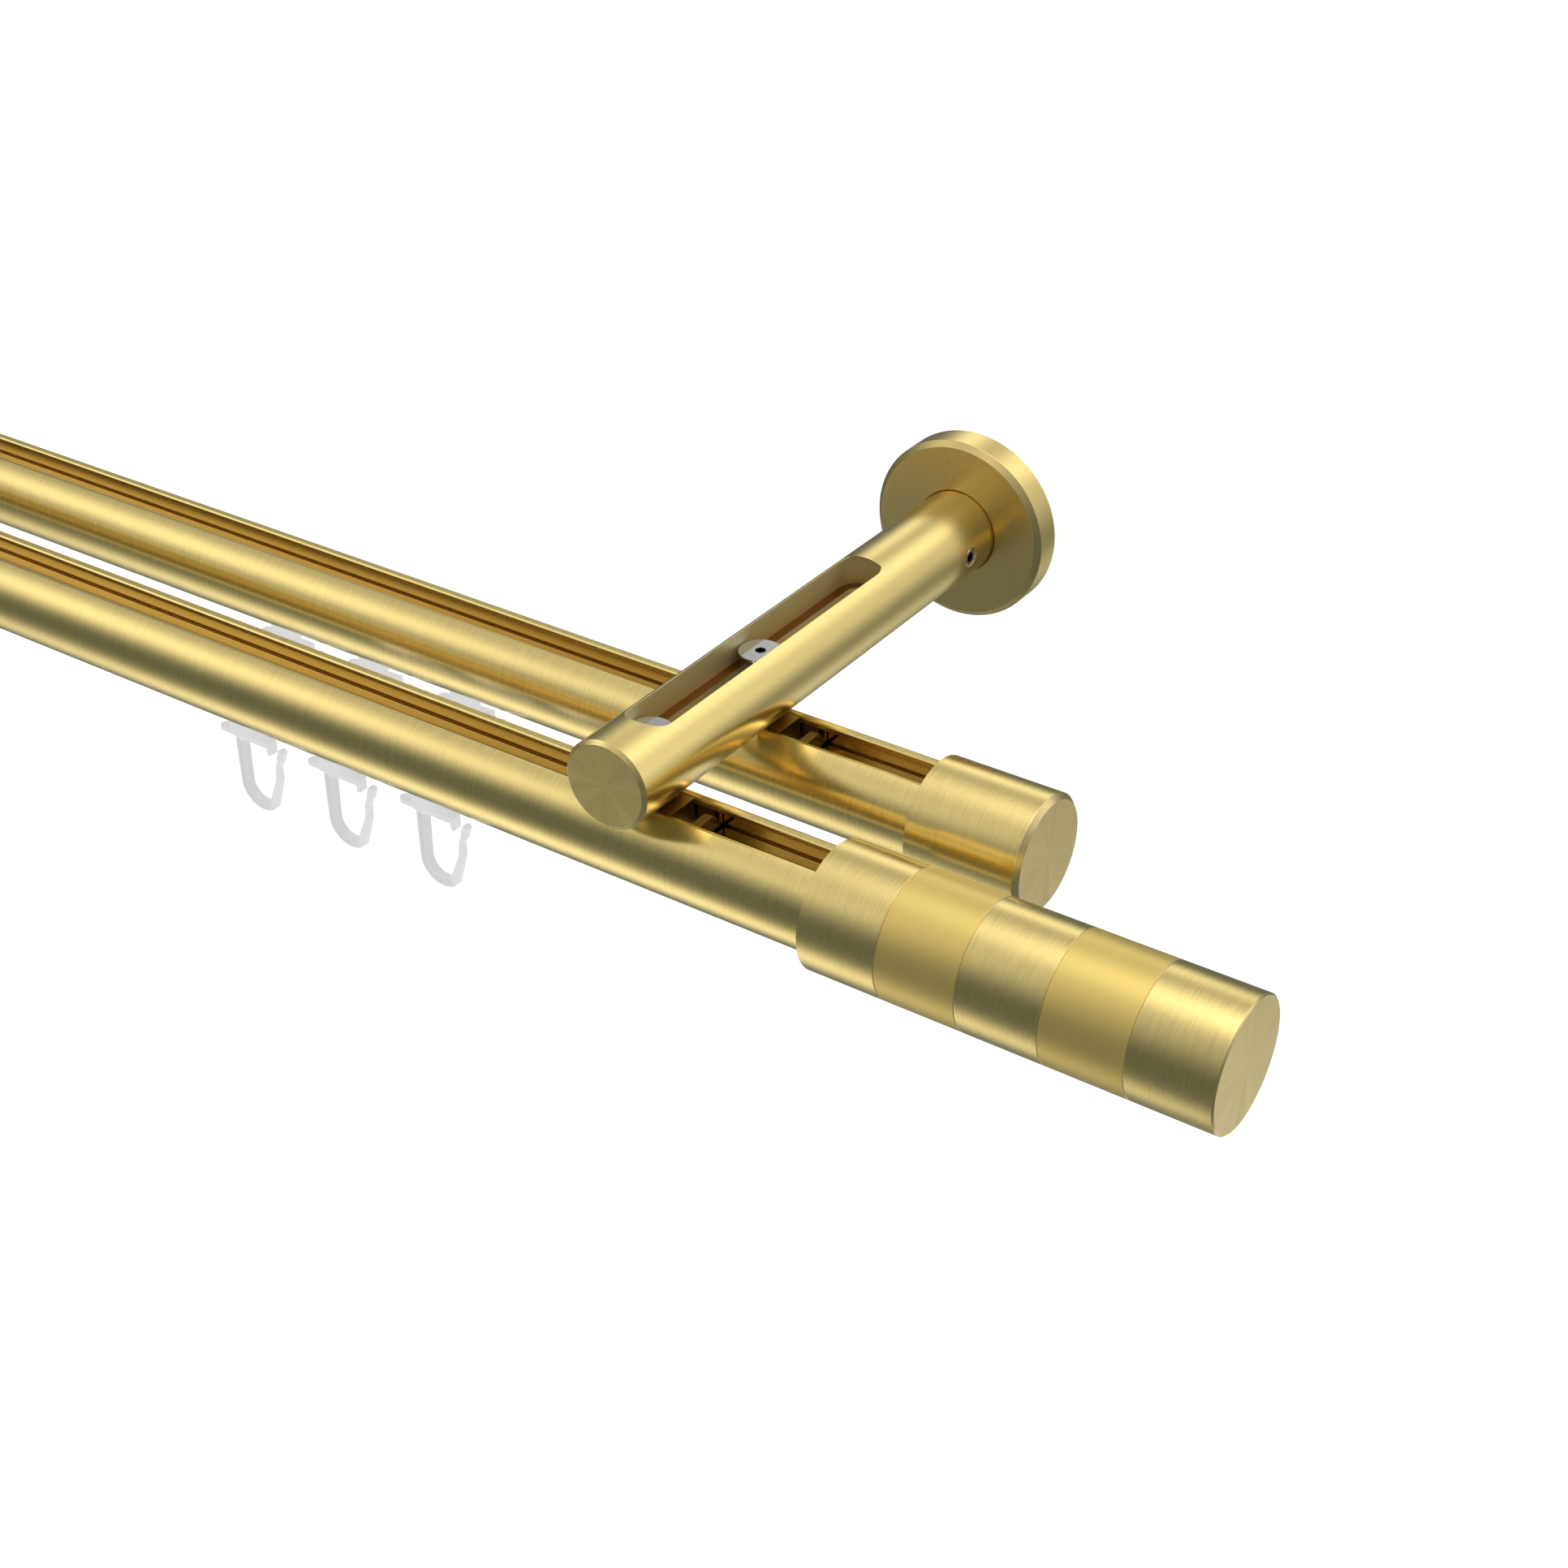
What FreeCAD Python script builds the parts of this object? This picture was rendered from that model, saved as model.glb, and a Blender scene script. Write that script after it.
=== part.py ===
"""Two-run curtain rod for fixing to a wall: two inner-track rods under two slotted round arms,
a banded finial on each end of the front rod, a plain cap on each end of the rear rod, and
plastic hook gliders that slide along both rods. Millimetres.

Frame: the origin is where the axis of the right-hand arm meets the wall. +X runs along the
rods towards the right-hand finial, +Y points into the wall, so the room is at -Y, and +Z is up.
Sections of the rods and gliders are drawn about the rod's own axis."""

import FreeCAD, Part
import math
import os

# Layout
BRACKET_SPACING = 360.0
REAR_RUN_Y = -80.0
FRONT_RUN_Y = -114.8
BRACKET_XS = (0.0, -BRACKET_SPACING)

# Fits
RUNNING = 0.05
SLIDING = 0.3
SEAT_GAP = 0.02
CUT_OVERRUN = 1.0

# Arm
ARM_R = 9.0
ARM_NOSE_L = 14.0
ARM_EDGE = 0.35
ARM_BORE_DEPTH = 24.0
SLOT_BEHIND_REAR_RUN = 34.4
SLOT_WIDE = 9.0
SLOT_NARROW = 5.0
SLOT_LEDGE_Z = 2.0

# Wall plate and rosette
PLATE_R = 17.5
PLATE_T = 3.0
SPIGOT_R = 5.0
SPIGOT_L = 22.0
WALL_HOLE_R = 2.25
WALL_HOLE_PITCH = 26.0
ROSETTE_R = 20.0
ROSETTE_T = 7.0
ROSETTE_EDGE = 1.0
ROSETTE_BORE_EDGE = 0.4

# Set screw that locks the arm on the spigot of its wall plate
SET_SCREW_HOLE_R = 2.15
SET_SCREW_Y = -15.9
SET_SCREW_SUNK = 0.3
SET_SCREW_EDGE = 0.4
SET_SCREW_HEX = 2.0
SET_SCREW_HEX_DEPTH = 2.0

# Clamp screw
CLAMP_HEAD_R = 4.3
CLAMP_HEAD_TOP_Z = 5.0
CLAMP_HEAD_RIM = 0.5
CLAMP_SHANK_R = 2.0
CLAMP_TIP_GAP = 0.79
CLAMP_HEX = 2.0
CLAMP_HEX_DEPTH = 2.0

# Rod section, about the rod's axis
ROD_R = 10.0
LIP_HALF_GAP = 3.9
LIP_ROUND = 0.5
LIP_UNDER_Z = 7.5
CHANNEL_HALF = 5.3
CHANNEL_CORNER = 0.4
CHANNEL_FLOOR_Z = 3.65
GUTTER_W = 0.65
GUTTER_DEPTH = 0.6
TRACK_ROOF_Z = 0.8
TRACK_HALF = 5.8
TRACK_SHOULDER_Z = -5.6
TRACK_LIP_HALF = 4.2
TRACK_LIP_Z = -7.6
TRACK_SLOT_HALF = 2.4
TRACK_CORNER = 1.5

# Slot nut in the upper channel of a rod
NUT_L = 24.0
NUT_BASE_Z = 4.2
NUT_BASE_T = 1.3
NUT_FLANGE_T = 0.9
NUT_WALL_T = 1.9
NUT_WALL_HALF = 3.1
NUT_WALL_EDGE = 0.8
NUT_RIB_L = 13.6
NUT_RIB_W = 7.0
NUT_RIB_SUNK = 0.3

# Finial of the front rod, from the rod outwards
FINIAL_R = 12.5
FINIAL_X = 40.0
BAND_L = 16.0
FINIAL_EDGE = 0.3
SEAM_EDGE = 0.2
TENON_R = 6.0
FRONT_ROD_INSERT = 11.0
SOCKET_DEPTH = 11.5

# Cap of the rear rod
CAP_R = 12.0
CAP_X = 40.0
CAP_L = 24.0
CAP_EDGE = 1.0
REAR_ROD_INSERT = 19.0
CAP_DEPTH = 19.5

# Hook glider, about the rod's axis, at x = 0
HEAD_L = 8.0
HEAD_H = 2.4
HEAD_EDGE = 0.7
NECK_L = 5.0
FLANGE_LEFT_X = -8.4
FLANGE_RIGHT_X = 6.2
FLANGE_TOP_Z = -14.4
FLANGE_T = 1.2
FLANGE_STEP = 0.2
FLANGE_DEPTH = 2.4
CATCH_W = 0.8
CATCH_DROP = 1.6
CATCH_EDGE = 0.25
HOOK_DEPTH = 2.1
HOOK_BACK_X = -2.75
HOOK_LOW_Z = -31.25
HOOK_TOP_W = 2.1
HOOK_W = 1.8
HEEL_R = 4.6
TOE_X = 4.2
TOE_R = 2.1
TOE_W = 1.9
BEND_X = 7.1
BEND_Z = -23.4
BEND_R = 3.0
BEND_W = 1.25
WAIST_X = 7.25
WAIST_Z = -20.2
WAIST_R = 2.0
WAIST_W = 1.0
BARB_X = 8.05
BARB_Z = -18.3
TIP_X = 9.0
TIP_Z = -15.4
TIP_W = 1.45
TIP_EDGE = 0.35
TONGUE_DEPTH = 1.5
TONGUE_TAPER = 1.5
GROOVE_W = 0.7
GROOVE_DEPTH = 0.3

# Gliders at rest: how many on each rod, the place of the one next to the right-hand arm, the pitch
GLIDERS_PER_RUN = 3
FRONT_GLIDER_X = -55.7
FRONT_GLIDER_PITCH = 25.1
REAR_GLIDER_X = -75.8
REAR_GLIDER_PITCH = 26.1

# Names of the two ends and the two rods
SIDES = ("right_", "left_")
RUNS = (("front_", FRONT_RUN_Y), ("rear_", REAR_RUN_Y))

# Height of both rods under the arms: the rounded lips meet the arm
LIP_TOP_Z = math.sqrt((ROD_R - LIP_ROUND) ** 2 - (LIP_HALF_GAP + LIP_ROUND) ** 2) + LIP_ROUND
ROD_Z = -(ARM_R + LIP_TOP_Z + SEAT_GAP)


def vec(x, y, z):
    """A point or direction."""
    return FreeCAD.Vector(x, y, z)


def box(x0, x1, y0, y1, z0, z1):
    """A block between two corners."""
    return Part.makeBox(x1 - x0, y1 - y0, z1 - z0, vec(x0, y0, z0))


def rounded_wire(corners):
    """A closed outline through corners (x, y, radius), each rounded by a tangent arc."""
    count = len(corners)
    starts = []
    ends = []
    arcs = []
    for i, (x, y, radius) in enumerate(corners):
        here = vec(x, y, 0)
        before = vec(*corners[i - 1][:2], 0) - here
        after = vec(*corners[(i + 1) % count][:2], 0) - here
        before.normalize()
        after.normalize()
        half = before.getAngle(after) / 2
        if radius == 0:
            starts.append(here)
            ends.append(here)
            arcs.append(None)
            continue
        reach = radius / math.tan(half)
        start = here + before * reach
        end = here + after * reach
        middle = before + after
        middle.normalize()
        nearest = here + middle * (radius / math.sin(half) - radius)
        starts.append(start)
        ends.append(end)
        arcs.append(Part.Arc(start, nearest, end).toShape())
    edges = []
    for i in range(count):
        if arcs[i] is not None:
            edges.append(arcs[i])
        next_start = starts[(i + 1) % count]
        if ends[i].distanceToPoint(next_start) > 1e-6:
            edges.append(Part.makeLine(ends[i], next_start))
    return Part.Wire(edges)


def extrude_along_x(wire, x0, length):
    """A section drawn as (y, z), extruded along X from x0."""
    turned = wire.copy()
    turned.transformShape(FreeCAD.Matrix(0, 0, 1, x0, 1, 0, 0, 0, 0, 1, 0, 0, 0, 0, 0, 1))
    return Part.Face(turned).extrude(vec(length, 0, 0))


def extrude_along_y(wire, depth):
    """An outline drawn as (x, z), extruded along Y, centred on y = 0."""
    turned = wire.copy()
    turned.transformShape(FreeCAD.Matrix(1, 0, 0, 0, 0, 0, 1, -depth / 2, 0, 1, 0, 0, 0, 0, 0, 1))
    return Part.Face(turned).extrude(vec(0, depth, 0))


def turned_piece(profile, axis):
    """A solid of revolution from (distance along the axis, radius) corners."""
    along = {"x": vec(1, 0, 0), "y": vec(0, 1, 0), "z": vec(0, 0, 1)}[axis]
    out = {"x": vec(0, 0, 1), "y": vec(0, 0, 1), "z": vec(1, 0, 0)}[axis]
    points = [along * a + out * r for a, r in profile]
    face = Part.Face(Part.makePolygon(points + points[:1]))
    return face.revolve(vec(0, 0, 0), along, 360)


def hex_socket(across_flats, depth, mouth, direction):
    """A six-sided recess that starts at mouth and runs in direction."""
    corner_r = across_flats / math.sqrt(3)
    side = vec(0, 1, 0) if abs(direction.y) < 0.5 else vec(1, 0, 0)
    other = direction.cross(side)
    points = []
    for i in range(7):
        angle = math.radians(60 * i)
        points.append(mouth + side * (corner_r * math.cos(angle)) + other * (corner_r * math.sin(angle)))
    return Part.Face(Part.makePolygon(points)).extrude(direction * depth)


def stroke(points):
    """The outline of a bar along a path of (x, z, bend radius, width) points."""
    left = []
    right = []
    last = len(points) - 1
    for i, (x, z, radius, width) in enumerate(points):
        half = width / 2
        here = vec(x, z, 0)
        before = here - vec(*points[max(i, 1) - 1][:2], 0)
        after = vec(*points[min(i, last - 1) + 1][:2], 0) - here
        if i == 0:
            before = after
        if i == last:
            after = before
        before.normalize()
        after.normalize()
        side = vec(-before.y, before.x, 0)
        mitre = side + vec(-after.y, after.x, 0)
        mitre.normalize()
        reach = half / mitre.dot(side)
        left_turn = before.cross(after).z
        inner = radius
        outer = radius
        if left_turn != 0:
            inner = max(radius - half, 0.0)
            outer = radius + half
        near = here + mitre * reach
        far = here - mitre * reach
        left.append((near.x, near.y, inner if left_turn > 0 else outer))
        right.append((far.x, far.y, outer if left_turn > 0 else inner))
    return rounded_wire(left + right[::-1])


def rod_section():
    """The rod's outline: upper channel for the slot nuts, lower track for the gliders."""
    lip_turn_y = LIP_HALF_GAP + LIP_ROUND
    lip_turn_z = math.sqrt((ROD_R - LIP_ROUND) ** 2 - lip_turn_y**2)
    scale = ROD_R / (ROD_R - LIP_ROUND)
    rim = vec(lip_turn_y * scale, lip_turn_z * scale, 0)
    lip_centre = vec(lip_turn_y, lip_turn_z, 0)
    lip_wall = vec(LIP_HALF_GAP, lip_turn_z, 0)
    between = (rim - lip_centre).normalize() + (lip_wall - lip_centre).normalize()
    lip_middle = lip_centre + between.normalize() * LIP_ROUND
    slot_rim = vec(TRACK_SLOT_HALF, -math.sqrt(ROD_R**2 - TRACK_SLOT_HALF**2), 0)
    gutter_z = CHANNEL_FLOOR_Z - GUTTER_DEPTH
    floor_half = CHANNEL_HALF - GUTTER_W
    inside_corner = CHANNEL_CORNER * (1 - math.sqrt(0.5))
    roof_corner = TRACK_CORNER * (1 - math.sqrt(0.5))
    upper = [
        ("line", vec(LIP_HALF_GAP, LIP_UNDER_Z, 0)),
        ("line", vec(CHANNEL_HALF, LIP_UNDER_Z, 0)),
        ("line", vec(CHANNEL_HALF, gutter_z + CHANNEL_CORNER, 0)),
        ("arc", vec(CHANNEL_HALF - inside_corner, gutter_z + inside_corner, 0),
         vec(CHANNEL_HALF - CHANNEL_CORNER, gutter_z, 0)),
        ("line", vec(floor_half, gutter_z, 0)),
        ("line", vec(floor_half, CHANNEL_FLOOR_Z, 0)),
    ]
    lower = [
        ("line", vec(TRACK_SLOT_HALF, TRACK_LIP_Z, 0)),
        ("line", vec(TRACK_LIP_HALF, TRACK_LIP_Z, 0)),
        ("line", vec(TRACK_HALF, TRACK_SHOULDER_Z, 0)),
        ("line", vec(TRACK_HALF, TRACK_ROOF_Z - TRACK_CORNER, 0)),
        ("arc", vec(TRACK_HALF - roof_corner, TRACK_ROOF_Z - roof_corner, 0),
         vec(TRACK_HALF - TRACK_CORNER, TRACK_ROOF_Z, 0)),
    ]
    right = half_path(lip_wall, upper)
    right.append(Part.Arc(lip_wall, lip_middle, rim).toShape())
    right.append(Part.Arc(rim, vec(ROD_R, 0, 0), slot_rim).toShape())
    right += half_path(slot_rim, lower)
    left = [mirrored(edge) for edge in right]
    floor_r = vec(floor_half, CHANNEL_FLOOR_Z, 0)
    roof_r = vec(TRACK_HALF - TRACK_CORNER, TRACK_ROOF_Z, 0)
    floor = Part.makeLine(floor_r, vec(-floor_r.x, floor_r.y, 0))
    roof = Part.makeLine(roof_r, vec(-roof_r.x, roof_r.y, 0))
    return Part.Wire(Part.__sortEdges__(right + left + [floor, roof]))


def half_path(start, steps):
    """Edges from start through lines and three-point arcs."""
    edges = []
    here = start
    for step in steps:
        if step[0] == "line":
            edges.append(Part.makeLine(here, step[1]))
        else:
            edges.append(Part.Arc(here, step[1], step[2]).toShape())
        here = step[-1]
    return edges


def mirrored(edge):
    """The same edge on the other side of the section's vertical axis."""
    return edge.mirror(vec(0, 0, 0), vec(1, 0, 0))


def rod(end_x, insert, run_y):
    """One extruded rod, cut to reach into the sockets at both ends."""
    right = end_x + insert
    left = -BRACKET_SPACING - right
    solid = extrude_along_x(rod_section(), left, right - left)
    return solid.translated(vec(0, run_y, ROD_Z))


def arm():
    """Round arm with a stepped slot from above, a rear bore and a side hole."""
    front_y = FRONT_RUN_Y - ARM_NOSE_L
    body = turned_piece(
        [(-PLATE_T, 0), (-PLATE_T, ARM_R), (front_y + ARM_EDGE, ARM_R), (front_y, ARM_R - ARM_EDGE),
         (front_y, 0)], "y")
    bore = Part.makeCylinder(SPIGOT_R + RUNNING, ARM_BORE_DEPTH, vec(0, -PLATE_T, 0), vec(0, -1, 0))
    side_hole = Part.makeCylinder(
        SET_SCREW_HOLE_R, ARM_R + CUT_OVERRUN, vec(0, SET_SCREW_Y, 0), vec(1, 0, 0))
    wide = slot_cutter(SLOT_WIDE, SLOT_LEDGE_Z, ARM_R + CUT_OVERRUN)
    narrow = slot_cutter(SLOT_NARROW, -ARM_R - CUT_OVERRUN, SLOT_LEDGE_Z + CUT_OVERRUN)
    return body.cut([bore, side_hole, wide, narrow])


def slot_cutter(width, z0, z1):
    """A round-ended block from the front run to well behind the rear run."""
    half = width / 2
    front = FRONT_RUN_Y
    rear = REAR_RUN_Y + SLOT_BEHIND_REAR_RUN
    edges = [
        Part.makeLine(vec(half, front, z0), vec(half, rear, z0)),
        Part.Arc(vec(half, rear, z0), vec(0, rear + half, z0), vec(-half, rear, z0)).toShape(),
        Part.makeLine(vec(-half, rear, z0), vec(-half, front, z0)),
        Part.Arc(vec(-half, front, z0), vec(0, front - half, z0), vec(half, front, z0)).toShape(),
    ]
    return Part.Face(Part.Wire(edges)).extrude(vec(0, 0, z1 - z0))


def wall_plate():
    """Round plate with a spigot for the arm and a screw hole above and below it."""
    spigot_y = -PLATE_T - SPIGOT_L
    body = turned_piece(
        [(0, 0), (0, PLATE_R), (-PLATE_T, PLATE_R), (-PLATE_T, SPIGOT_R), (spigot_y, SPIGOT_R),
         (spigot_y, 0)], "y")
    hole = Part.makeCylinder(
        WALL_HOLE_R, PLATE_T + 2 * CUT_OVERRUN, vec(0, CUT_OVERRUN, 0), vec(0, -1, 0))
    return body.cut([hole.translated(vec(0, 0, side * WALL_HOLE_PITCH / 2)) for side in (-1, 1)])


def wall_rosette():
    """Turned cover that hides the wall plate and fits round the arm."""
    bore_r = ARM_R + RUNNING
    recess_r = PLATE_R + SLIDING
    recess_y = -PLATE_T - SLIDING
    return turned_piece(
        [(0, recess_r), (0, ROSETTE_R), (ROSETTE_EDGE - ROSETTE_T, ROSETTE_R),
         (-ROSETTE_T, ROSETTE_R - ROSETTE_EDGE), (-ROSETTE_T, bore_r + ROSETTE_BORE_EDGE),
         (ROSETTE_BORE_EDGE - ROSETTE_T, bore_r), (recess_y, bore_r), (recess_y, recess_r)], "y")


def set_screw():
    """Headless screw in the side of the arm, its flat end on the spigot."""
    inner = SPIGOT_R + SEAT_GAP
    outer = ARM_R - SET_SCREW_SUNK
    radius = SET_SCREW_HOLE_R - RUNNING
    body = turned_piece(
        [(inner, 0), (inner, radius), (outer - SET_SCREW_EDGE, radius),
         (outer, radius - SET_SCREW_EDGE), (outer, 0)], "x")
    socket = hex_socket(SET_SCREW_HEX, SET_SCREW_HEX_DEPTH, vec(outer, 0, 0), vec(-1, 0, 0))
    return body.cut(socket).translated(vec(0, SET_SCREW_Y, 0))


def clamp_screw():
    """Countersunk socket screw: its cone sits on the edges of the arm's narrow slot, and it
    ends just short of the floor of the rod's channel."""
    top = CLAMP_HEAD_TOP_Z
    rim = top - CLAMP_HEAD_RIM
    seat_r = SLOT_NARROW / 2 - SEAT_GAP
    cone_slope = (rim - SLOT_LEDGE_Z) / (CLAMP_HEAD_R - seat_r)
    cone_end = rim - (CLAMP_HEAD_R - CLAMP_SHANK_R) * cone_slope
    tip = ROD_Z + CHANNEL_FLOOR_Z + CLAMP_TIP_GAP
    body = turned_piece(
        [(top, 0), (top, CLAMP_HEAD_R), (rim, CLAMP_HEAD_R), (cone_end, CLAMP_SHANK_R),
         (tip, CLAMP_SHANK_R), (tip, 0)], "z")
    return body.cut(hex_socket(CLAMP_HEX, CLAMP_HEX_DEPTH, vec(0, 0, top), vec(0, 0, -1)))


def slot_nut():
    """Tray-shaped nut: its side flanges pull up under the lips of the rod's upper channel."""
    half = CHANNEL_HALF - SLIDING
    inner = half - NUT_FLANGE_T
    base_top = NUT_BASE_Z + NUT_BASE_T
    flange_top = LIP_UNDER_Z
    section = [(-half, NUT_BASE_Z, 0), (half, NUT_BASE_Z, 0), (half, flange_top, 0),
               (inner, flange_top, 0), (inner, base_top, 0), (-inner, base_top, 0),
               (-inner, flange_top, 0), (-half, flange_top, 0)]
    tray = extrude_along_x(rounded_wire(section), -NUT_L / 2, NUT_L)
    wall_half = NUT_WALL_HALF
    wall_top = flange_top - SLIDING
    end_section = [(-wall_half, base_top, 0), (wall_half, base_top, 0),
                   (wall_half, wall_top - NUT_WALL_EDGE, 0), (wall_half - NUT_WALL_EDGE, wall_top, 0),
                   (NUT_WALL_EDGE - wall_half, wall_top, 0), (-wall_half, wall_top - NUT_WALL_EDGE, 0)]
    end_wire = rounded_wire(end_section)
    ends = [extrude_along_x(end_wire, x0, NUT_WALL_T) for x0 in (-NUT_L / 2, NUT_L / 2 - NUT_WALL_T)]
    rib_top = -ARM_R - NUT_RIB_SUNK - ROD_Z
    rib = box(-NUT_RIB_L / 2, NUT_RIB_L / 2, -NUT_RIB_W / 2, NUT_RIB_W / 2, base_top, rib_top)
    hole = Part.makeCylinder(CLAMP_SHANK_R + RUNNING, rib_top)
    return tray.fuse(ends + [rib]).removeSplitter().cut(hole)


def finial_socket():
    """First band of the finial: a socket for the rod's end, bored for the tenon."""
    x1 = FINIAL_X + BAND_L
    rod_r = ROD_R + RUNNING
    bore_r = TENON_R + RUNNING
    floor_x = FINIAL_X + SOCKET_DEPTH
    return turned_piece(
        [(FINIAL_X, rod_r), (FINIAL_X, FINIAL_R), (x1 - SEAM_EDGE, FINIAL_R), (x1, FINIAL_R - SEAM_EDGE),
         (x1, bore_r), (floor_x, bore_r), (floor_x, rod_r)], "x")


def finial_ring(number):
    """The finial's second, third or fourth band, threaded on the tenon."""
    x0 = FINIAL_X + (number - 1) * BAND_L
    x1 = x0 + BAND_L
    bore_r = TENON_R + RUNNING
    return turned_piece(
        [(x0, bore_r), (x0, FINIAL_R), (x1 - SEAM_EDGE, FINIAL_R), (x1, FINIAL_R - SEAM_EDGE),
         (x1, bore_r)], "x")


def finial_end():
    """Fifth band with its long tenon, which carries the other bands and ends in the socket."""
    tenon_x = FINIAL_X + SOCKET_DEPTH
    shoulder = FINIAL_X + 4 * BAND_L
    end = shoulder + BAND_L
    return turned_piece(
        [(tenon_x, 0), (tenon_x, TENON_R), (shoulder, TENON_R), (shoulder, FINIAL_R),
         (end - FINIAL_EDGE, FINIAL_R), (end, FINIAL_R - FINIAL_EDGE), (end, 0)], "x")


def end_cap():
    """Plain turned cap with a blind socket for the rear rod."""
    socket_r = ROD_R + RUNNING
    floor_x = CAP_X + CAP_DEPTH
    end = CAP_X + CAP_L
    return turned_piece(
        [(floor_x, 0), (floor_x, socket_r), (CAP_X, socket_r), (CAP_X, CAP_R), (end - CAP_EDGE, CAP_R),
         (end, CAP_R - CAP_EDGE), (end, 0)], "x")


def glider_flange():
    """Flat bar under the rod, rounded at its left end, with a small step and the catch at its right."""
    half = FLANGE_DEPTH / 2
    low = FLANGE_TOP_Z - FLANGE_T
    step_low = low - FLANGE_STEP
    catch_low = step_low - CATCH_DROP
    catch_x = FLANGE_RIGHT_X - CATCH_W
    step_x = HOOK_BACK_X
    side = extrude_along_y(rounded_wire(
        [(FLANGE_LEFT_X, FLANGE_TOP_Z, 0), (FLANGE_RIGHT_X, FLANGE_TOP_Z, 0),
         (FLANGE_RIGHT_X, catch_low + CATCH_EDGE, 0), (FLANGE_RIGHT_X - CATCH_EDGE, catch_low, 0),
         (catch_x + CATCH_EDGE, catch_low, 0), (catch_x, catch_low + CATCH_EDGE, 0),
         (catch_x, step_low, 0), (step_x, step_low, 0), (step_x, low, 0), (FLANGE_LEFT_X, low, 0)]),
        FLANGE_DEPTH)
    plan = Part.Face(rounded_wire(
        [(FLANGE_LEFT_X, -half, half), (FLANGE_RIGHT_X, -half, 0), (FLANGE_RIGHT_X, half, 0),
         (FLANGE_LEFT_X, half, half)]))
    return side.common(plan.extrude(vec(0, 0, catch_low)))


def glider_hook():
    """Back, heel, toe and barbed tongue of the hook: thinner past the toe, grooved along its front."""
    half = HOOK_DEPTH / 2
    thin = TONGUE_DEPTH / 2
    top = FLANGE_TOP_Z - FLANGE_T / 2
    toe_start = TOE_X - TOE_R
    side = extrude_along_y(stroke(
        [(HOOK_BACK_X, top, 0, HOOK_TOP_W), (HOOK_BACK_X, HOOK_LOW_Z, HEEL_R, HOOK_W),
         (TOE_X, HOOK_LOW_Z, TOE_R, TOE_W), (BEND_X, BEND_Z, BEND_R, BEND_W),
         (WAIST_X, WAIST_Z, WAIST_R, WAIST_W), (BARB_X, BARB_Z, 0, WAIST_W)]), HOOK_DEPTH)
    left = HOOK_BACK_X - HOOK_TOP_W
    right = TIP_X + TIP_W
    plan = Part.Face(rounded_wire(
        [(left, -half, 0), (toe_start, -half, 0), (toe_start + TONGUE_TAPER, -thin, 0),
         (right, -thin, 0), (right, thin, 0), (toe_start + TONGUE_TAPER, thin, 0),
         (toe_start, half, 0), (left, half, 0)]))
    hook = side.common(plan.extrude(vec(0, 0, HOOK_LOW_Z - TOE_W)))
    groove = extrude_along_y(stroke(
        [(HOOK_BACK_X, FLANGE_TOP_Z - FLANGE_T - FLANGE_STEP - HOOK_W / 2, 0, GROOVE_W),
         (HOOK_BACK_X, HOOK_LOW_Z, HEEL_R, GROOVE_W), (toe_start, HOOK_LOW_Z, 0, GROOVE_W)]),
        2 * GROOVE_DEPTH)
    return hook.cut(groove.translated(vec(0, -half, 0))).fuse(glider_tip())


def glider_tip():
    """End of the tongue: wider than the tongue, so that its lower edge makes a barb."""
    length = math.hypot(TIP_X - BARB_X, TIP_Z - BARB_Z)
    shoulder_x = TIP_X - (TIP_X - BARB_X) * TIP_EDGE / length
    shoulder_z = TIP_Z - (TIP_Z - BARB_Z) * TIP_EDGE / length
    return extrude_along_y(stroke(
        [(BARB_X, BARB_Z, 0, TIP_W), (shoulder_x, shoulder_z, 0, TIP_W),
         (TIP_X, TIP_Z, 0, TIP_W - 2 * TIP_EDGE)]), TONGUE_DEPTH)


def glider():
    """Hook glider: head in the rod's track, neck through its slot, flange and hook below."""
    middle = (FLANGE_LEFT_X + FLANGE_RIGHT_X) / 2
    neck_half = TRACK_SLOT_HALF - SLIDING
    head_half = TRACK_LIP_HALF - SLIDING
    head_low = TRACK_LIP_Z + SLIDING
    head_top = head_low + HEAD_H
    neck = box(middle - NECK_L / 2, middle + NECK_L / 2, -neck_half, neck_half, FLANGE_TOP_Z, head_low)
    head = extrude_along_x(rounded_wire(
        [(-head_half, head_low, 0), (head_half, head_low, 0), (head_half, head_top - HEAD_EDGE, 0),
         (head_half - HEAD_EDGE, head_top, 0), (HEAD_EDGE - head_half, head_top, 0),
         (-head_half, head_top - HEAD_EDGE, 0)]), middle - HEAD_L / 2, HEAD_L)
    return neck.fuse([head, glider_flange(), glider_hook()]).removeSplitter()


def on_both_ends(solid, run_y):
    """A piece on the right-hand end of a rod, and the same piece turned round on the left-hand end."""
    turned = solid.copy()
    turned.rotate(vec(-BRACKET_SPACING / 2, 0, 0), vec(0, 0, 1), 180)
    return Part.makeCompound([solid, turned]).translated(vec(0, run_y, ROD_Z))


def on_brackets(solid):
    """The same piece on both brackets."""
    return [solid.translated(vec(x, 0, 0)) for x in BRACKET_XS]


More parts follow.
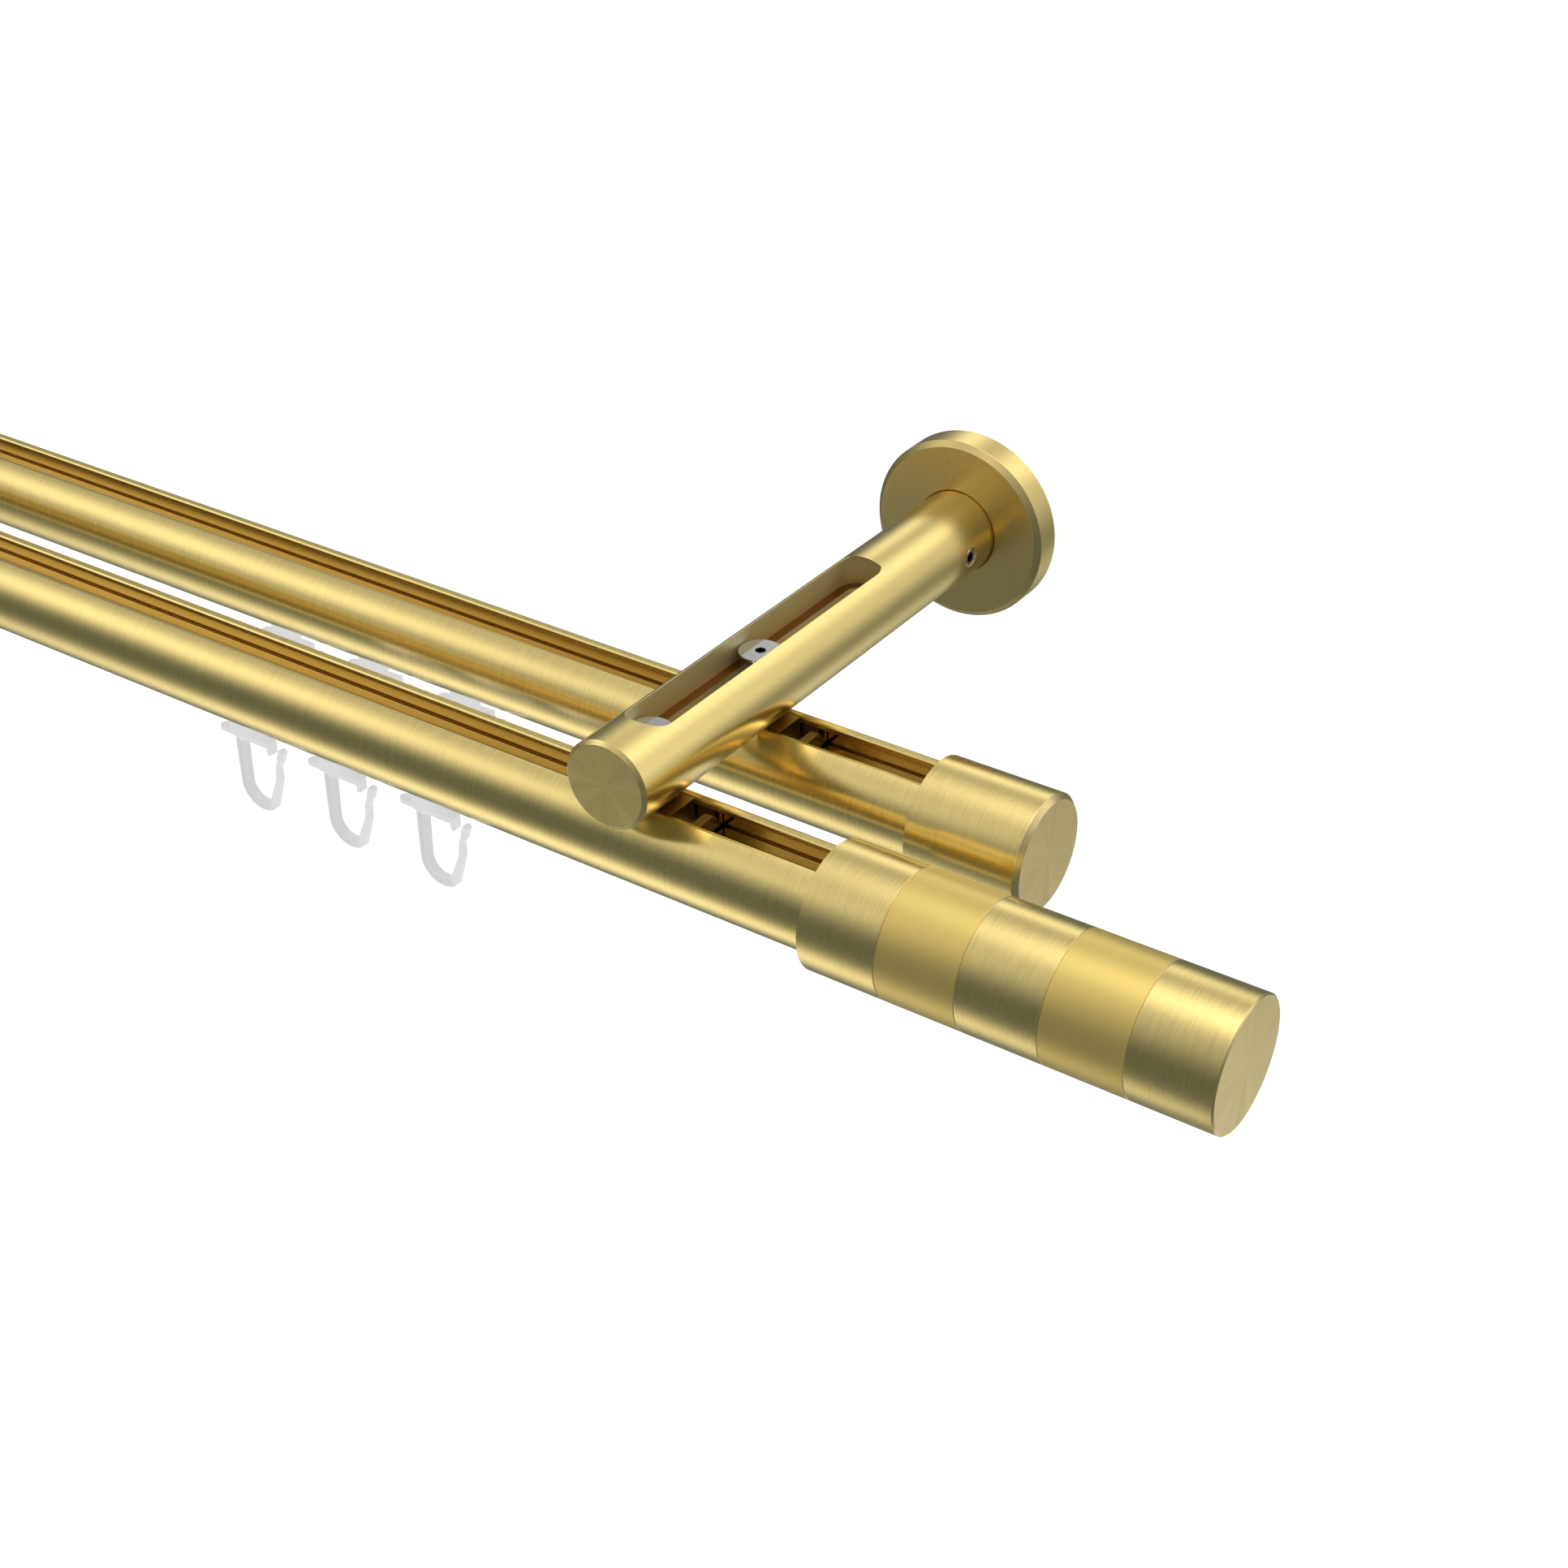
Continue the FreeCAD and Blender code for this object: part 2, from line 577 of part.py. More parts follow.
def bracket_pieces():
    """Both wall brackets: each arm and slot nut apart, like turned pieces and screws together."""
    pieces = {
        "wall_plates": Part.makeCompound(on_brackets(wall_plate())),
        "wall_rosettes": Part.makeCompound(on_brackets(wall_rosette())),
        "arm_set_screws": Part.makeCompound(on_brackets(set_screw())),
    }
    for side, placed in zip(SIDES, on_brackets(arm())):
        pieces[side + "arm"] = placed
    screws = []
    for run, run_y in RUNS:
        screws += on_brackets(clamp_screw().translated(vec(0, run_y, 0)))
        nut = slot_nut().translated(vec(0, run_y, ROD_Z))
        for side, placed in zip(SIDES, on_brackets(nut)):
            pieces[f"{side}{run}slot_nut"] = placed
    pieces["clamp_screws"] = Part.makeCompound(screws)
    return pieces


def rod_pieces():
    """Both rods with what closes their ends."""
    pieces = {
        "front_rod": rod(FINIAL_X, FRONT_ROD_INSERT, FRONT_RUN_Y),
        "rear_rod": rod(CAP_X, REAR_ROD_INSERT, REAR_RUN_Y),
        "finial_sockets": on_both_ends(finial_socket(), FRONT_RUN_Y),
        "finial_ends": on_both_ends(finial_end(), FRONT_RUN_Y),
        "rear_end_caps": on_both_ends(end_cap(), REAR_RUN_Y),
    }
    for number, name in ((2, "inner_rings"), (3, "spacers"), (4, "outer_rings")):
        pieces["finial_" + name] = on_both_ends(finial_ring(number), FRONT_RUN_Y)
    return pieces


def glider_pieces():
    """The gliders of both rods, each free to slide, numbered from the right-hand arm."""
    pieces = {}
    hook_glider = glider()
    places = ((FRONT_GLIDER_X, FRONT_GLIDER_PITCH), (REAR_GLIDER_X, REAR_GLIDER_PITCH))
    for (run, run_y), (first_x, pitch) in zip(RUNS, places):
        for number in range(GLIDERS_PER_RUN):
            x = first_x - number * pitch
            pieces[f"{run}glider_{number + 1}"] = hook_glider.translated(vec(x, run_y, ROD_Z))
    return pieces


def main():
    """Builds every piece and writes one STEP file for each."""
    os.makedirs("parts", exist_ok=True)
    for name, shape in {**rod_pieces(), **bracket_pieces(), **glider_pieces()}.items():
        shape.exportStep(f"parts/{name}.step")
        print(name, len(shape.Solids), "solids", round(shape.Volume, 1), "mm3", shape.isValid())


main()
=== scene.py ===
"""Studio model of a two-run curtain rod: brushed brass rods, arms, rosettes and finials, steel
screws and plastic hook gliders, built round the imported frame. Metres, in the frame's own axes."""

import math

import bpy
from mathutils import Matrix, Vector


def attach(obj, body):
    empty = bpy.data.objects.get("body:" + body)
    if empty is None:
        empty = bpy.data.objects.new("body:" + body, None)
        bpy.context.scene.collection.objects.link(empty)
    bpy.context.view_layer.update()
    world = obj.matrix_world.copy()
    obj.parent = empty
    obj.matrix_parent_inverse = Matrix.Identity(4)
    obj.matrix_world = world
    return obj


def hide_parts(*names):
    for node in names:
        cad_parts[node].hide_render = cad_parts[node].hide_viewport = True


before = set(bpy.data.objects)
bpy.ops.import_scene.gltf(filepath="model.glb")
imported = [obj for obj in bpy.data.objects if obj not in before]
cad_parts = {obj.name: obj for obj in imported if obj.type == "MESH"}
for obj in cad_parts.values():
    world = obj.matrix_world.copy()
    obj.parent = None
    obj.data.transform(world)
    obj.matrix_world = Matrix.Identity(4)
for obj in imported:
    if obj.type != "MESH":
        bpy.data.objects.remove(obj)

bl_info = {
    "name": "Two-run curtain rod",
    "version": (1, 0, 0),
    "blender": (4, 5, 0),
    "location": "View3D > Sidebar > Curtain rod",
    "description": "Builds the rods, brackets, finials and gliders of a two-run curtain rod",
    "category": "Add Mesh",
}

AXIS_X = Vector((1, 0, 0))
AXIS_Y = Vector((0, 1, 0))
AXIS_Z = Vector((0, 0, 1))
ROUND_STEPS = 192
SMALL_ROUND_STEPS = 96
ARC_STEP = math.radians(15)
FINE_STEP = math.radians(2)
SMOOTH_TURN = math.radians(20)
SLOT_TURN_STEPS = 32
ARM_HALF_STEPS = 72
TINY = 1e-6
LEAST_EASE = 0.00001
BROAD_EASE = 0.001

# Easing radii of edges, from the crispest to the roundest
SHARP = 0.00005
CRISP = 0.00006
BROKEN = 0.00008
EASED = 0.0001
SOFT = 0.00012
ROUNDED = 0.00015

# Clearances, and how far one skin reaches under the next
FIT = 0.00005
SEAT_FIT = 0.00002
LAP = 0.00005

# The rosettes' wall behind the face, and its gap to the wall plate
ROSETTE_WALL = 0.0022
PLATE_GAP = 0.0003

# The set screws' inner end and well, and the ring round a hexagon as a share of its size
SET_SCREW_INNER = 0.00502
SET_SCREW_WELL = 0.004
HEX_RIM_SHARE = 0.66

# The gliders' moulding, from the middle of the glider and the rod's axis
HEAD_EASE = 0.0006
HEAD_END_EASE = 0.0003
NECK_LAP = 0.0005
CATCH_LAP = 0.0002
CATCH_EASE = 0.0002
SMALL_END_EASE = 0.0001
END_STEPS = 4
FLANGE_END_STEPS = 10
THINNEST = 0.0003
HOOK_BACK_X = -0.00275
HOOK_LOW_Z = -0.03125
HEEL_BEND = 0.0046
HEEL_WIDTHS = (0.0021, 0.0018, 0.00185)
TOE_X = 0.0021
TOE_LAP = 0.0002
TOE_WIDTH = 0.00185
# The tongue's corners: X, Z, bend and width of the bar
TONGUE = (
    (0.0042, HOOK_LOW_Z, 0.0021, 0.0019),
    (0.0071, -0.0234, 0.003, 0.00125),
    (0.00725, -0.0202, 0.002, 0.001),
    (0.00805, -0.0183, 0, 0.001),
)
BARB_TIP = (0.009, -0.0154)
BARB_POINT = 0.00035
BARB_WIDTHS = (0.00145, 0.00145, 0.00085)

# Brush lines and turned rings: how many to a metre across them, along them and round a face
LINES_ACROSS = 4200.0
LINES_ALONG = 170.0
DRAWN_ALONG = 40.0
RINGS_ACROSS = 3000.0
RINGS_AROUND = 5.0

# Coarser lines among them: how many to one fine line, and their share of the shade
COARSE_LINES = 0.35
COARSE_SHARE = 0.15

# Painted sheen: light and dark wedges of painted highlight and shade round a turned face, and soft
# clouds to a metre
SHEEN_WEDGES_AROUND = 2.4
CLOUDS = 55.0

# What lines of full strength and the clouds do to a brass finish
LINES_DARKER = 0.20
LINES_LIGHTER = 0.12
LINES_DULLER = 0.08
LINES_RELIEF = 0.000002
CLOUDS_DULLER = 0.05

# Brass finishes: colour, added roughness, lie of the lines, their strength, strength of the painted
# sheen wedges
BRASS_FINISHES = {
    "brushed_brass_round": ("brushed_brass", 0.0, "round x", 1.0, 0.0),
    # The channel's darker colour is painted shade.
    "channel_brass_painted_shade": ("channel_brass_painted_shade", -0.08, "along x", 0.04, 0.0),
    "finial_end_brass": ("end_brass", 0.06, "face x", 0.9, 2.0),
    "arm_end_brass": ("arm_end_brass", 0.06, "face y", 0.9, 2.6),
    "brushed_brass_arm": ("brushed_brass", 0.02, "along y", 0.4, 0.0),
    "slot_brass": ("slot_brass", 0.35, "along y", 0.3, 0.0),
    # The ledge's near-black colour is painted shade.
    "ledge_painted_shade": ("ledge_painted_shade", 0.16, "along y", 0.5, 0.0),
    "rosette_rim_brass": ("brushed_brass", 0.0, "along y", 0.3, 0.0),
    "rosette_face_brass": ("rosette_brass", 0.06, "face y", 0.06, 2.5),
}
SATIN_LINES = 0.25
SATIN_METALLIC = 0.815

# Other metals: colour, roughness, how many grains to a metre
METAL_FINISHES = {
    # The nuts' dark colour is painted shade.
    "milled_brass_painted_shade": ("nut_brass", 0.26, 900.0),
    "turned_steel": ("screw_steel", 0.08, 1500.0),
    # The hexagons' near-black colour is painted shade.
    "recess_painted_shade": ("recess_painted_shade", 0.5, 1500.0),
    "bright_chrome": ("chrome", 0.14, 1200.0),
    "zinc_plate": ("plate_steel", 0.42, 700.0),
}

# Depth of the grain in steel, nuts and plastic
GRAIN_RELIEF = 0.00002

# The gliders' painted glow: painted shade greys it in corners this deep, and painted light makes it
# whiter, by so much to a metre, above one height and past one place along the hook
PAINTED_SHADE_REACH = 0.0006
PAINTED_GLOW_IN_CORNERS = (0.62, 0.62, 0.62)
PAINTED_GLOW_IN_OPEN = (0.87, 0.87, 0.87)
PAINTED_LIGHT_ABOVE_Z = -0.0166
PAINTED_LIGHT_RISE_UP = 1500.0
PAINTED_LIGHT_PAST_X = 0.0030
PAINTED_LIGHT_RISE_ALONG = 500.0

# The floor and the lamp over it
FLOOR_HALF = 12.0
FLOOR_GLOW = 0.95
LAMP_PLACE = (-0.3, -0.3, 1.9)
LAMP_SIZE = 2.4
LAMP_POWER = 60.0

# Where the studio is bright: direction, strength, how narrow
STUDIO_GLOWS = (
    # On the wall's side, to the left and to the right
    ((-0.406, 0.812, 0.420), 1.05, 42.0),
    ((0.296, 0.745, 0.597), 1.05, 26.0),
    # Overhead
    ((0.131, 0.032, 0.991), 3.10, 12.0),
    # In the room, to the left
    ((-0.703, -0.520, 0.486), 1.15, 24.0),
    # Past the right-hand finial
    ((0.839, 0.505, 0.202), 1.00, 13.0),
    # From below, on the wall's side and on the room's side
    ((0.276, 0.511, -0.814), 0.88, 14.0),
    ((-0.547, -0.229, -0.805), 1.20, 19.0),
)


def length(name, description, millimetres):
    """A size that a user may change."""
    return bpy.props.FloatProperty(
        name=name, description=description, default=millimetres / 1000, min=-2.0, max=2.0,
        unit="LENGTH", subtype="DISTANCE", precision=5)


def share(name, description, default):
    """A number from 0 to 1 that a user may change."""
    return bpy.props.FloatProperty(
        name=name, description=description, default=default, min=0.0, max=1.0, subtype="FACTOR")


def colour(name, description, default):
    """A colour that a user may change."""
    return bpy.props.FloatVectorProperty(
        name=name, description=description, default=default, min=0.0, max=1.0, size=3,
        subtype="COLOR")


class LayoutSizes(bpy.types.PropertyGroup):
    """Where the runs, the brackets and the gliders are."""

    bracket_spacing: length("Bracket spacing", "From one arm to the other", 360.0)
    front_run_y: length("Front run", "Place of the front rod, from the wall", -114.8)
    rear_run_y: length("Rear run", "Place of the rear rod, from the wall", -80.0)
    rod_z: length("Rod height", "Height of both rods' axes, from the arms' axis", -17.9396)
    front_glider_x: length("First front glider", "Place of the front glider by the arm", -55.7)
    front_pitch: length("Front glider pitch", "From one front glider to the next", 25.1)
    rear_glider_x: length("First rear glider", "Place of the rear glider by the arm", -75.8)
    rear_pitch: length("Rear glider pitch", "From one rear glider to the next", 26.1)


class RodSizes(bpy.types.PropertyGroup):
    """The extruded section of both rods."""

    radius: length("Rod radius", "Outside radius of the rods", 10.0)
    lip_half_gap: length("Half slot on top", "Half the width between the upper lips", 3.55)
    lip_land_z: length("Lip land", "Height of the flat on the upper lips", 8.68)
    lip_land_half: length("Half lip land", "Where the flat meets the rod's round", 4.7)
    lip_edge: length("Lip edge", "Chamfer at the upper lips' inner edge", 0.3)
    lip_under_z: length("Under the lips", "Height of the lips' lower side", 7.5)
    channel_half: length("Half channel", "Half the width of the upper channel", 5.3)
    channel_corner: length("Channel corner", "Rounding at the foot of the channel", 0.4)
    channel_floor_z: length("Channel floor", "Height of the raised floor", 3.65)
    gutter_width: length("Gutter width", "Width of the gutters beside the floor", 0.65)
    gutter_depth: length("Gutter depth", "Depth of the gutters beside the floor", 0.6)
    track_roof_z: length("Track roof", "Height of the track's roof", 0.8)
    track_half: length("Half track", "Half the width of the glider track", 5.8)
    track_corner: length("Track corner", "Rounding under the track's roof", 1.5)
    track_shoulder_z: length("Track shoulder", "Height where the track narrows", -5.6)
    track_lip_half: length("Half track foot", "Half the width at the track's lips", 4.2)
    track_lip_z: length("Track lips", "Height of the lips that carry the gliders", -7.6)
    track_slot_half: length("Half slot below", "Half the width between the lower lips", 2.4)


class BracketSizes(bpy.types.PropertyGroup):
    """Arms, rosettes and screws."""

    arm_radius: length("Arm radius", "Outside radius of the arms", 9.0)
    arm_nose: length("Arm nose", "From the front run to the arm's end", 14.0)
    arm_edge: length("Arm edge", "Chamfer at the arm's front end", 0.75)
    slot_behind: length("Slot behind the rear run", "How far the slot goes on", 34.4)
    slot_wide: length("Wide slot", "Width of the slot's upper step", 9.0)
    slot_narrow: length("Narrow slot", "Width of the slot's lower step", 5.0)
    slot_ledge_z: length("Slot ledge", "Height of the ledge between the steps", 2.0)
    slot_edge: length("Slot edge", "Easing of the slot's upper rim", 0.12)
    plate_thickness: length("Wall plate", "Thickness of the wall plate", 3.0)
    rosette_radius: length("Rosette radius", "Outside radius of the rosettes", 20.0)
    rosette_thickness: length("Rosette thickness", "From the wall to its face", 7.0)
    rosette_edge: length("Rosette edge", "Chamfer round the rosette's face", 1.2)
    rosette_bore_edge: length("Rosette bore edge", "Chamfer round the arm", 0.4)
    set_screw_y: length("Set screw place", "From the wall to the set screw", -15.9)
    set_screw_hole: length("Set screw hole", "Radius of its hole in the arm", 2.15)
    set_screw_sunk: length("Set screw depth", "How far it sits below the arm's side", 0.3)
    set_screw_edge: length("Set screw edge", "Chamfer at its end", 0.4)
    hex_size: length("Hexagon", "Across the flats of every screw's hexagon", 2.0)
    hex_depth: length("Hexagon depth", "Depth of every screw's hexagon", 2.0)
    clamp_head: length("Clamp screw head", "Radius of its countersunk head", 4.3)
    clamp_top_z: length("Clamp screw top", "Height of its head", 5.0)
    clamp_rim: length("Clamp screw rim", "Height of the head's rim", 0.5)
    clamp_shank: length("Clamp screw shank", "Radius of its thread", 2.0)
    clamp_length: length("Clamp screw length", "Overall length", 18.5)


class EndSizes(bpy.types.PropertyGroup):
    """Finials of the front rod and caps of the rear rod."""

    finial_x: length("Finial start", "From the arm to the finial", 40.0)
    finial_radius: length("Finial radius", "Outside radius of the finials", 12.5)
    band_length: length("Band length", "Length of each of the five bands", 16.0)
    band_bore: length("Band bore", "Bore for the tenon that carries the bands", 6.05)
    seam_edge: length("Seam chamfer", "Chamfer at each seam", 0.2)
    finial_edge: length("Finial edge", "Chamfer at the finial's end", 0.3)
    cap_radius: length("Cap radius", "Outside radius of the caps", 12.0)
    cap_length: length("Cap length", "Length of the caps", 24.0)
    cap_edge: length("Cap edge", "Chamfer at the cap's end", 1.0)
    socket_radius: length("Socket radius", "Bore for the rod's end", 10.05)
    socket_depth: length("Socket depth", "Depth of the finial's socket", 11.5)
    cap_depth: length("Cap depth", "Depth of the cap's socket", 19.5)
    rod_in_finial: length("Rod in the finial", "How far the front rod goes in", 11.0)
    rod_in_cap: length("Rod in the cap", "How far the rear rod goes in", 19.0)


class GliderSizes(bpy.types.PropertyGroup):
    """The hook gliders, about the rod's axis."""

    head_length: length("Head length", "Length of the head in the track", 8.0)
    head_half: length("Half head", "Half the width of the head", 3.9)
    head_low_z: length("Head underside", "Height of the head's underside", -7.3)
    head_height: length("Head height", "Height of the head", 2.4)
    neck_length: length("Neck length", "Length of the neck in the slot", 5.0)
    neck_half: length("Half neck", "Half the width of the neck", 2.1)
    flange_left_x: length("Flange left", "Left end of the flange", -8.4)
    flange_right_x: length("Flange right", "Right end of the flange", 6.2)
    flange_top_z: length("Flange top", "Height of the flange", -14.4)
    flange_thickness: length("Flange thickness", "Thickness of the flange", 1.2)
    flange_step: length("Flange step", "How much thicker it is over the hook", 0.2)
    flange_depth: length("Flange depth", "Depth of the flange", 2.4)
    catch_width: length("Catch width", "Width of the catch over the tongue", 0.8)
    catch_drop: length("Catch drop", "How far the catch hangs down", 1.6)
    hook_depth: length("Hook depth", "Depth of the hook's back and heel", 2.1)
    tongue_depth: length("Tongue depth", "Depth of the hook's tongue", 1.5)
    tongue_taper: length("Tongue taper", "Length over which the hook narrows", 1.5)
    groove_width: length("Groove width", "Width of the groove down the hook", 0.7)
    groove_depth: length("Groove depth", "Depth of the groove down the hook", 0.4)
    moulded_edge: length("Moulded edge", "Rounding of the moulded edges", 0.12)
    merge_step: length("Merging step", "Fineness at which the moulding's parts are merged", 0.13)


class FinishSettings(bpy.types.PropertyGroup):
    """Colours and polish."""

    brushed_brass: colour("Brushed brass", "Rods, arms, rosettes and caps", (0.89, 0.72, 0.355))
    satin_brass: colour("Satin brass", "Second and fourth band of the finials", (0.65, 0.50, 0.18))
    end_brass: colour("End brass", "End faces of the finials and caps", (0.967, 0.771, 0.444))
    arm_end_brass: colour("Arm end brass", "Front faces of the arms", (0.98, 0.783, 0.398))
    rosette_brass: colour("Rosette brass", "Faces of the rosettes", (0.77, 0.61, 0.31))
    # Painted shade: the rods' inside is a darker brass for the shade in the channel.
    channel_brass_painted_shade: colour("Channel brass", "Inside of the rods", (0.62, 0.465, 0.21))
    slot_brass: colour("Slot brass", "Walls of the arms' slots", (0.88, 0.79, 0.545))
    # Painted shade: the slots' ledge is a near-black brown for the shade deep in the slot.
    ledge_painted_shade: colour("Ledge brass", "Shaded ledge in the arms' slots", (0.179, 0.070, 0.010))
    # Painted shade: the nuts' brass is darkened for the shade of the channel they sit in.
    nut_brass: colour("Nut brass", "Slot nuts in the rods' channels", (0.32, 0.225, 0.085))
    screw_steel: colour("Screw steel", "Clamp screws", (0.42, 0.435, 0.53))
    # Painted shade: the hexagons' inside is near black for the shade deep in them.
    recess_painted_shade: colour("Recess steel", "Inside of the screws' hexagons", (0.03, 0.03, 0.03))
    chrome: colour("Chrome", "Set screws", (0.80, 0.82, 0.95))
    plate_steel: colour("Plate steel", "Wall plates", (0.55, 0.55, 0.54))
    glider_plastic: colour("Glider plastic", "Hook gliders", (0.145, 0.15, 0.165))
    brushed_roughness: share("Brushed roughness", "How dull the brushed brass is", 0.22)
    satin_roughness: share("Satin roughness", "How dull the satin brass is", 0.34)


class StudioSettings(bpy.types.PropertyGroup):
    """Camera, floor and light."""

    camera_place: bpy.props.FloatVectorProperty(
        name="Camera place", description="Where the camera stands", size=3,
        default=(0.231021, -0.411965, 0.233321), unit="LENGTH", subtype="TRANSLATION")
    camera_turn: bpy.props.FloatVectorProperty(
        name="Camera turn", description="Tilt, roll and heading of the camera", size=3,
        default=(math.radians(57.4059), 0.0, math.radians(34.2014)), unit="ROTATION",
        subtype="EULER")
    lens: bpy.props.FloatProperty(
        name="Lens", description="Focal length of the camera in millimetres", default=55.884,
        unit="CAMERA")
    floor_z: length("Floor height", "Height of the floor, well below the rods", -600.0)
    glow_colour: colour("Lamp colour", "Bright parts of the studio", (0.99, 0.945, 0.733))
    dim_colour: colour("Dim studio", "Dim part of the studio", (0.774, 0.875, 0.705))
    dim_strength: bpy.props.FloatProperty(
        name="Dim strength", description="Light from the dim part of the studio", default=0.177)
    upper_strength: bpy.props.FloatProperty(
        name="Upper strength", description="Extra light from straight above", default=0.387)


class Value:
    """One number in a node tree. An expression on it adds its Math nodes."""

    def __init__(self, maker, socket):
        self.maker = maker
        self.socket = socket

    def worked(self, operation, *numbers):
        """The result of one Math node on these numbers."""
        node = self.maker.add(
            "ShaderNodeMath", {"operation": operation}, dict(enumerate(numbers)))
        return Value(self.maker, node.outputs[0])

    def __add__(self, other):
        return self.worked("ADD", self, other)

    def __radd__(self, other):
        return self.worked("ADD", other, self)

    def __sub__(self, other):
        return self.worked("SUBTRACT", self, other)

    def __rsub__(self, other):
        return self.worked("SUBTRACT", other, self)

    def __mul__(self, other):
        return self.worked("MULTIPLY", self, other)

    def __rmul__(self, other):
        return self.worked("MULTIPLY", other, self)

    def __pow__(self, other):
        return self.worked("POWER", self, other)

    def __rpow__(self, other):
        return self.worked("POWER", other, self)

    def exp(self):
        """e to the power of this number."""
        return self.worked("EXPONENT", self)

    def at_least(self, lowest):
        """The larger of this number and lowest."""
        return self.worked("MAXIMUM", self, lowest)


class NodeMaker:
    """Adds nodes to one tree: each from its type, its settings and the values or links it takes."""

    def __init__(self, tree):
        self.tree = tree
        tree.nodes.clear()

    def add(self, kind, settings=None, inputs=None):
        """A new node. Settings come first, because they can change which sockets it has."""
        node = self.tree.nodes.new(kind)
        for name, setting in (settings or {}).items():
            setattr(node, name, setting)
        for name, given in (inputs or {}).items():
            if isinstance(given, Value):
                self.tree.links.new(given.socket, node.inputs[name])
            else:
                node.inputs[name].default_value = given
        return node

    def take(self, kind, settings=None, inputs=None, output=0):
        """One output of a new node."""
        return Value(self, self.add(kind, settings, inputs).outputs[output])

    def place(self):
        """The point on the piece, about the piece's own origin."""
        return self.take("ShaderNodeTexCoord", output="Object")

    def stretched(self, vector, scales):
        """A vector with each part multiplied."""
        return self.take("ShaderNodeVectorMath", {"operation": "MULTIPLY"}, {0: vector, 1: scales})

    def parts(self, vector):
        """The three numbers of a vector."""
        node = self.add("ShaderNodeSeparateXYZ", None, {0: vector})
        return [Value(self, output) for output in node.outputs]

    def joined(self, x, y, z):
        """A vector from three numbers."""
        return self.take("ShaderNodeCombineXYZ", None, {0: x, 1: y, 2: z})

    def noise(self, vector, scale, detail=2.0, roughness=0.5):
        """Soft random numbers round 0.5."""
        return self.take(
            "ShaderNodeTexNoise", {"noise_dimensions": "3D"},
            {"Vector": vector, "Scale": scale, "Detail": detail, "Roughness": roughness})

    def blended(self, factor, first, second):
        """A colour between two colours, which the Mix node has as sockets 6 and 7."""
        first, second = [(*given, 1.0) if isinstance(given, tuple) else given
                         for given in (first, second)]
        return self.take(
            "ShaderNodeMix", {"data_type": "RGBA"}, {0: factor, 6: first, 7: second}, output=2)

    def bumped(self, height, strength, distance):
        """A surface direction from a height."""
        return self.take(
            "ShaderNodeBump", None, {"Strength": strength, "Distance": distance, "Height": height})


def shaded(rgb, factor):
    """A colour made lighter or darker, with its hue kept."""
    factor = min(factor, 1 / max(rgb))
    return tuple(part * factor for part in rgb)


def finished_material(name, viewport_colour, make):
    """A material whose shader's sockets are what make(maker) returns."""
    made = bpy.data.materials.new(name)
    made.use_nodes = True
    made.diffuse_color = (*viewport_colour, 1.0)
    maker = NodeMaker(made.node_tree)
    inputs = make(maker)
    shader = maker.take("ShaderNodeBsdfPrincipled", None, inputs)
    maker.add("ShaderNodeOutputMaterial", None, {"Surface": shader})
    return made


def brush_lines(maker, lay):
    """A place in which a brushed surface's lines are close across them and far along them."""
    place = maker.place()
    if lay == "round x":
        return maker.stretched(place, (LINES_ACROSS, LINES_ALONG, LINES_ALONG))
    if lay == "along y":
        return maker.stretched(place, (LINES_ACROSS, LINES_ALONG, LINES_ACROSS))
    if lay == "along x":
        return maker.stretched(place, (DRAWN_ALONG, LINES_ACROSS, LINES_ACROSS))
    x, y, z = maker.parts(place)
    if lay == "face x":
        radius = (y * y + z * z) ** 0.5
        return maker.joined(radius * RINGS_ACROSS, y * RINGS_AROUND, z * RINGS_AROUND)
    radius = (x * x + z * z) ** 0.5
    return maker.joined(radius * RINGS_ACROSS, x * RINGS_AROUND, z * RINGS_AROUND)


def painted_sunburst_sheen(maker, lay):
    """Painted sheen: soft light and dark wedges round the middle of a turned face, painted
    highlight and shade that stand in for the glint of its rings.
    """
    x, y, z = maker.parts(maker.place())
    flat = maker.joined(0.0, y, z) if lay == "face x" else maker.joined(x, 0.0, z)
    towards = maker.take("ShaderNodeVectorMath", {"operation": "NORMALIZE"}, {0: flat})
    return maker.noise(towards, SHEEN_WEDGES_AROUND, 4.0, 0.6)


def brass_finish(name, rgb, roughness, lay, line_strength, painted_sheen_strength=0.0, metallic=1.0):
    """Brass with brush lines that lie the way it was turned or drawn."""

    def make(maker):
        lines = brush_lines(maker, lay)
        fine = maker.noise(lines, 1.0, 1.0)
        coarse = maker.noise(lines, COARSE_LINES, 1.0)
        cloud = maker.noise(maker.place(), CLOUDS)
        tone = fine * (1 - COARSE_SHARE) + coarse * COARSE_SHARE
        shade = tone
        # Painted sheen: light and dark wedges of painted highlight and shade on turned faces, added
        # to the line tone.
        if painted_sheen_strength:
            shade = tone + (painted_sunburst_sheen(maker, lay) - 0.5) * painted_sheen_strength
        dark = shaded(rgb, 1 - LINES_DARKER * line_strength)
        light = shaded(rgb, 1 + LINES_LIGHTER * line_strength)
        dull_lines = (tone - 0.5) * (LINES_DULLER * line_strength)
        return {
            "Base Color": maker.blended(shade, dark, light),
            "Metallic": metallic,
            "Roughness": dull_lines + (cloud - 0.5) * CLOUDS_DULLER + roughness,
            "Normal": maker.bumped(tone, 1.0, LINES_RELIEF * line_strength),
        }

    return finished_material(name, rgb, make)


def metal_finish(name, rgb, roughness, grain):
    """Plain machined metal with a fine grain."""

    def make(maker):
        speckle = maker.noise(maker.place(), grain, 3.0, 0.6)
        return {
            "Base Color": maker.blended(speckle, shaded(rgb, 0.85), shaded(rgb, 1.1)),
            "Metallic": 1.0,
            "Roughness": (speckle - 0.5) * (0.4 * roughness) + roughness,
            "Normal": maker.bumped(speckle, 0.15, GRAIN_RELIEF),
        }

    return finished_material(name, rgb, make)


